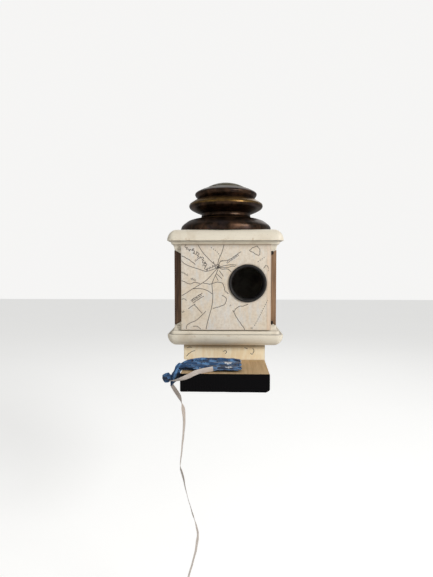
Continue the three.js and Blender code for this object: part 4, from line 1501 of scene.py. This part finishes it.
def gathered_strip():
    """The strip before it settles: points, faces, flat places in mm, and which points the knot holds."""
    stations = spline([Vector(s) for s in np.array(CLOTH_STATIONS)[:, :3]], 1.5)
    count = len(stations)
    at = np.linspace(0, 1, len(CLOTH_STATIONS))
    table = np.array(CLOTH_STATIONS)
    shares = np.linspace(0, 1, count)
    widths, slopes = np.interp(shares, at, table[:, 3]), np.interp(shares, at, table[:, 4])
    full = sizes().cloth_width / MM
    across = 41
    points, flat = [], []
    for i, here in enumerate(stations):
        along = (stations[min(i + 1, count - 1)] - stations[max(i - 1, 0)]).normalized()
        side = Vector((0, 1, 0))
        up = along.cross(side).normalized()
        slack = max(0.0, full / widths[i] - 1)
        folds = 3
        swell = min(3.0, widths[i] / (math.tau * folds) * 2 * math.sqrt(slack)) * (0.5 if i > count / 2 else 0.85)
        phase = 0.9 * math.sin(i * 0.11) + i * 0.015
        for k, v in enumerate(np.linspace(-0.5, 0.5, across)):
            wave = math.sin(math.tau * folds * v + phase + 0.6 * math.sin(5 * v + i * 0.05))
            fine = noise.noise(Vector((i * 0.12, k * 0.22, 5.0))) * 1.1
            lift = swell * wave * (0.45 if v < -0.38 else 1) + fine * min(1, widths[i] / 20)
            points.append(here + side * widths[i] * v + up * lift + Vector((0, 0, slopes[i] * v * widths[i])))
            flat.append((i * 1.5, (v + 0.5) * full))
    floor = span("platform_board")[1].z / MM + 0.5
    points = [Vector((p.x, p.y, max(p.z, floor if p.x > -52 else floor - 4))) for p in points]
    faces = [
        (r * across + c, r * across + c + 1, (r + 1) * across + c + 1, (r + 1) * across + c)
        for r in range(count - 1)
        for c in range(across - 1)
    ]
    held = [*range(2 * across), *range((count - 2) * across, count * across)]
    return points, faces, flat, held


# The folds are modelled, and the simulation only eases them
SETTLING_FRAMES = 3


def settled(piece, held, frames):
    """Lets the modelled folds settle a little on the platform, held at the knot."""
    pinned = piece.vertex_groups.new(name="held")
    pinned.add(held, 1.0, "REPLACE")
    low, high = span("platform_board")
    rest = bpy.data.meshes.new("rest")
    top, deep = high.z, 6 * MM
    corners = [(x, y, z) for z in (top - deep, top) for x, y in (
        (low.x, low.y), (high.x, low.y), (high.x, -125 * MM), (low.x, -125 * MM))]
    rest.from_pydata(corners, [], [(3, 2, 1, 0), (4, 5, 6, 7), (0, 1, 5, 4), (1, 2, 6, 5), (2, 3, 7, 6), (3, 0, 4, 7)])
    table = bpy.data.objects.new("rest", rest)
    bpy.context.scene.collection.objects.link(table)
    table.modifiers.new("rest", "COLLISION")
    table.collision.thickness_outer, table.collision.cloth_friction = 0.0005, 20
    cloth = piece.modifiers.new("cotton", "CLOTH")
    settings, meeting = cloth.settings, cloth.collision_settings
    settings.quality, settings.mass = 6, 0.12
    settings.effector_weights.gravity = 0.3
    settings.tension_stiffness = settings.compression_stiffness = 60
    settings.shear_stiffness, settings.bending_stiffness = 30, 3
    settings.vertex_group_mass = "held"
    meeting.distance_min, meeting.use_self_collision = 0.0005, True
    meeting.self_distance_min, meeting.self_friction = 0.0006, 8
    scene = bpy.context.scene
    for at in range(1, frames + 1):
        scene.frame_set(at)
    piece = applied(piece)
    scene.frame_set(1)
    bpy.data.objects.remove(table)
    return piece


def shade_hollows(piece, reach):
    """Darkens the cloth where other layers lie close over it, as a shade attribute."""
    mesh = piece.data
    tree = BVHTree.FromPolygons([v.co for v in mesh.vertices], [tuple(p.vertices) for p in mesh.polygons])
    values = []
    for v in mesh.vertices:
        hits = 0
        for tilt in (Vector((0, 0, 1)), Vector((0, -0.8, 0.6)), Vector((0.5, -0.5, 0.7)), Vector((-0.5, -0.5, 0.7))):
            start = v.co + tilt.normalized() * 1.2 * MM
            hit = tree.ray_cast(start, tilt.normalized(), reach)
            hits += hit[0] is not None
        values.append(hits / 4)
    mesh.attributes.new("shade", "FLOAT", "POINT").data.foreach_set("value", values)


class BIRDHOUSE_OT_cloth(bpy.types.Operator):
    """Makes the folded cotton on the platform, settled by a cloth simulation"""

    bl_idname = "birdhouse.cloth"
    bl_label = "Cloth"

    def execute(self, context):
        points, faces, flat, held = gathered_strip()
        piece = new_piece("folded_cotton", [p * MM for p in points], faces, printed_cotton())
        laid = piece.data.uv_layers.new(name="flat")
        for loop in piece.data.loops:
            laid.data[loop.index].uv = flat[loop.vertex_index]
        piece = settled(piece, held, SETTLING_FRAMES)
        shade_hollows(piece, 9 * MM)
        smooth = piece.modifiers.new("smooth", "SUBSURF")
        smooth.levels = smooth.render_levels = 1
        shell = piece.modifiers.new("cotton", "SOLIDIFY")
        shell.thickness, shell.offset = sizes().cloth_thickness, 0
        piece = applied(piece)
        piece.data.shade_smooth()
        stand_for(piece, "house", "cloth_loop", slot="blue_cloth")
        return {"FINISHED"}


def lump(name, stations, flutes, twist, material_used, sides=64):
    """A closed bundle of gathered cloth along stations of (place, radius), both in mm."""
    route = spline([(*place, radius) for place, radius in stations], 0.45)
    points, flat, shades = [], [], []
    side = None
    for i, row in enumerate(route):
        here, radius = Vector(row[:3]), row[3]
        ahead, behind = route[min(i + 1, len(route) - 1)], route[max(i - 1, 0)]
        along = (Vector(ahead[:3]) - Vector(behind[:3])).normalized()
        side = along.orthogonal().normalized() if side is None else (side - along * side.dot(along)).normalized()
        other = along.cross(side)
        for k in range(sides):
            angle = math.tau * k / sides
            fold = math.cos(flutes * angle + twist * i)
            crinkle = noise.noise(Vector((math.cos(angle) * 1.6, math.sin(angle) * 1.6, i * 0.09)))
            reach = radius * (1 + 0.2 * (abs(fold) ** 0.6 * math.copysign(1, fold)) + 0.22 * crinkle)
            points.append(here + (side * math.cos(angle) + other * math.sin(angle)) * reach)
            flat.append((i * 0.45 + 160, angle * 5))
            shades.append(min(1.0, max(0.0, 0.25 - fold * 0.7 - crinkle)))
    count = len(route)
    faces = [
        (r * sides + c, r * sides + (c + 1) % sides, (r + 1) * sides + (c + 1) % sides, (r + 1) * sides + c)
        for r in range(count - 1)
        for c in range(sides)
    ]
    faces += [tuple(reversed(range(sides))), tuple(range((count - 1) * sides, count * sides))]
    piece = new_piece(name, [p * MM for p in points], faces, material_used)
    laid = piece.data.uv_layers.new(name="flat")
    for loop in piece.data.loops:
        laid.data[loop.index].uv = flat[loop.vertex_index]
    piece = out_facing(piece)
    piece.data.attributes.new("shade", "FLOAT", "POINT").data.foreach_set("value", shades)
    return piece


class BIRDHOUSE_OT_knot(bpy.types.Operator):
    """Makes the knot at the cloth's gathered ends"""

    bl_idname = "birdhouse.knot"
    bl_label = "Knot"

    def execute(self, context):
        parts = [
            lump("knot_ball", [((-63.6, -183.5, -104.6), 2.2), ((-65, -183.3, -105), 4.4), ((-68, -183, -105.2), 5.2),
                 ((-71.2, -182.8, -104.6), 4.4), ((-73.6, -182.6, -104), 2.0), ((-74.2, -182.6, -104), 0.4)],
                 5, 0.16, printed_cotton()),
            lump("knot_wrap", [((-63, -184, -114.6), 0.8), ((-62, -183.6, -111), 2.2), ((-59.8, -183, -105.5), 3.7),
                 ((-57.6, -182, -101.4), 4.4), ((-56.4, -180.5, -98.6), 3.4), ((-55.6, -178, -96.8), 2.4)],
                 4, 0.13, printed_cotton()),
            lump("knot_neck", [((-63, -183.4, -106), 2.4), ((-60.4, -182, -103), 2.8), ((-57.4, -179, -98.8), 3.2),
                 ((-55.2, -176, -95.4), 3.8), ((-53.2, -174, -93.2), 4.0), ((-51.8, -173, -92), 3.0)],
                 6, 0.09, printed_cotton()),
        ]
        mesh = bmesh.new()
        for part in parts:
            mesh.from_mesh(part.data)
        piece = parts[0]
        mesh.to_mesh(piece.data)
        mesh.free()
        for part in parts[1:]:
            bpy.data.objects.remove(part)
        piece.name = "gathered_knot"
        piece.data.shade_smooth()
        stand_for(piece, "house", "cloth_knot", slot="blue_cloth")
        return {"FINISHED"}


# The stage


class BIRDHOUSE_OT_stage(bpy.types.Operator):
    """Makes the camera, the soft studio lights and the pale floor"""

    bl_idname = "birdhouse.stage"
    bl_label = "Stage"

    def execute(self, context):
        scene = bpy.context.scene
        lens = bpy.data.cameras.new("camera")
        lens.lens = 26.5
        camera = bpy.data.objects.new("camera", lens)
        scene.collection.objects.link(camera)
        camera.location = mm(8.7, -682.6, 25.2)
        left, down = math.radians(2.07), math.radians(2.72)
        ahead = Vector((-math.sin(left) * math.cos(down), math.cos(left) * math.cos(down), -math.sin(down)))
        camera.rotation_mode = "QUATERNION"
        camera.rotation_quaternion = ahead.to_track_quat("-Z", "Y")
        scene.camera = camera

        centre = (CAD_LOW + CAD_HIGH) / 2
        for name, azimuth, elevation, far, size, power in (
            ("key", 46, 27, 1.7, 0.5, 18.3),
            ("fill", -48, 18, 1.9, 1.6, 2.7),
            ("rear", 170, 40, 1.9, 1.4, 5.0),
        ):
            a, e = math.radians(azimuth), math.radians(elevation)
            back = Vector((math.sin(a) * math.cos(e), -math.cos(a) * math.cos(e), math.sin(e)))
            light = bpy.data.lights.new(name, "AREA")
            light.shape, light.size, light.energy = "DISK", size, power
            lamp = bpy.data.objects.new(name, light)
            scene.collection.objects.link(lamp)
            lamp.location = centre + back * far
            lamp.rotation_mode = "QUATERNION"
            lamp.rotation_quaternion = (-back).to_track_quat("-Z", "Y")

        world = bpy.data.worlds.new("studio")
        world.use_nodes = True
        tree = world.node_tree
        sky = tree.nodes["Background"].inputs
        sky["Color"].default_value = (1.0, 0.995, 0.985, 1)
        seen = node(tree, "ShaderNodeLightPath").outputs["Is Camera Ray"]
        tree.links.new(ranged(tree, seen, 0.0, 1.0, 0.34, 0.92), sky["Strength"])
        scene.world = world
        scene.view_settings.view_transform = "Standard"

        def build(tree, shader):
            soft = noisy(tree, object_place(tree), 3.0, 3.0)
            tree.links.new(mixed(tree, soft, (0.8, 0.8, 0.79), (0.84, 0.84, 0.83)), shader["Base Color"])
            shader["Emission Color"].default_value = (1, 1, 0.99, 1)
            seen = node(tree, "ShaderNodeLightPath").outputs["Is Camera Ray"]
            tree.links.new(ranged(tree, seen, 0.0, 1.0, 0.0, 0.45), shader["Emission Strength"])

        half, height = 6.0, CAD_LOW.z - 90 * MM
        floor = new_piece(
            "floor", [(-half, -half, height), (half, -half, height), (half, half, height), (-half, half, height)],
            [(0, 1, 2, 3)], material("pale floor", build, roughness=0.9), smooth=False,
        )
        floor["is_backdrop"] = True
        return {"FINISHED"}


class BIRDHOUSE_PT_panel(bpy.types.Panel):
    """Lists the birdhouse's sizes, colours and steps"""

    bl_idname = "BIRDHOUSE_PT_panel"
    bl_label = "Birdhouse"
    bl_space_type = "VIEW_3D"
    bl_region_type = "UI"
    bl_category = "Birdhouse"

    def draw(self, context):
        for title, settings in (("Sizes", sizes()), ("Colours", colours())):
            box = self.layout.box()
            box.label(text=title)
            for name in settings.__annotations__:
                box.prop(settings, name)
        for step in STEPS:
            self.layout.operator(step.bl_idname)


# In the order they run: the camera and the ribbon first
STEPS = [
    BIRDHOUSE_OT_stage,
    BIRDHOUSE_OT_ribbon,
    BIRDHOUSE_OT_cloth,
    BIRDHOUSE_OT_knot,
    BIRDHOUSE_OT_plaques,
    BIRDHOUSE_OT_box,
    BIRDHOUSE_OT_map_paper,
    BIRDHOUSE_OT_pipe,
    BIRDHOUSE_OT_hinges,
    BIRDHOUSE_OT_platform,
    BIRDHOUSE_OT_finial,
    BIRDHOUSE_OT_screws,
]
CLASSES = [BirdhouseSizes, BirdhouseColours, *STEPS, BIRDHOUSE_PT_panel]


def register():
    for kind in CLASSES:
        bpy.utils.register_class(kind)
    bpy.types.Scene.birdhouse_sizes = PointerProperty(type=BirdhouseSizes)
    bpy.types.Scene.birdhouse_colours = PointerProperty(type=BirdhouseColours)


def unregister():
    del bpy.types.Scene.birdhouse_colours
    del bpy.types.Scene.birdhouse_sizes
    for kind in reversed(CLASSES):
        bpy.utils.unregister_class(kind)


def main():
    register()
    for step in STEPS:
        getattr(bpy.ops.birdhouse, step.bl_idname.split(".")[1])()


if __name__ == "__main__":
    main()
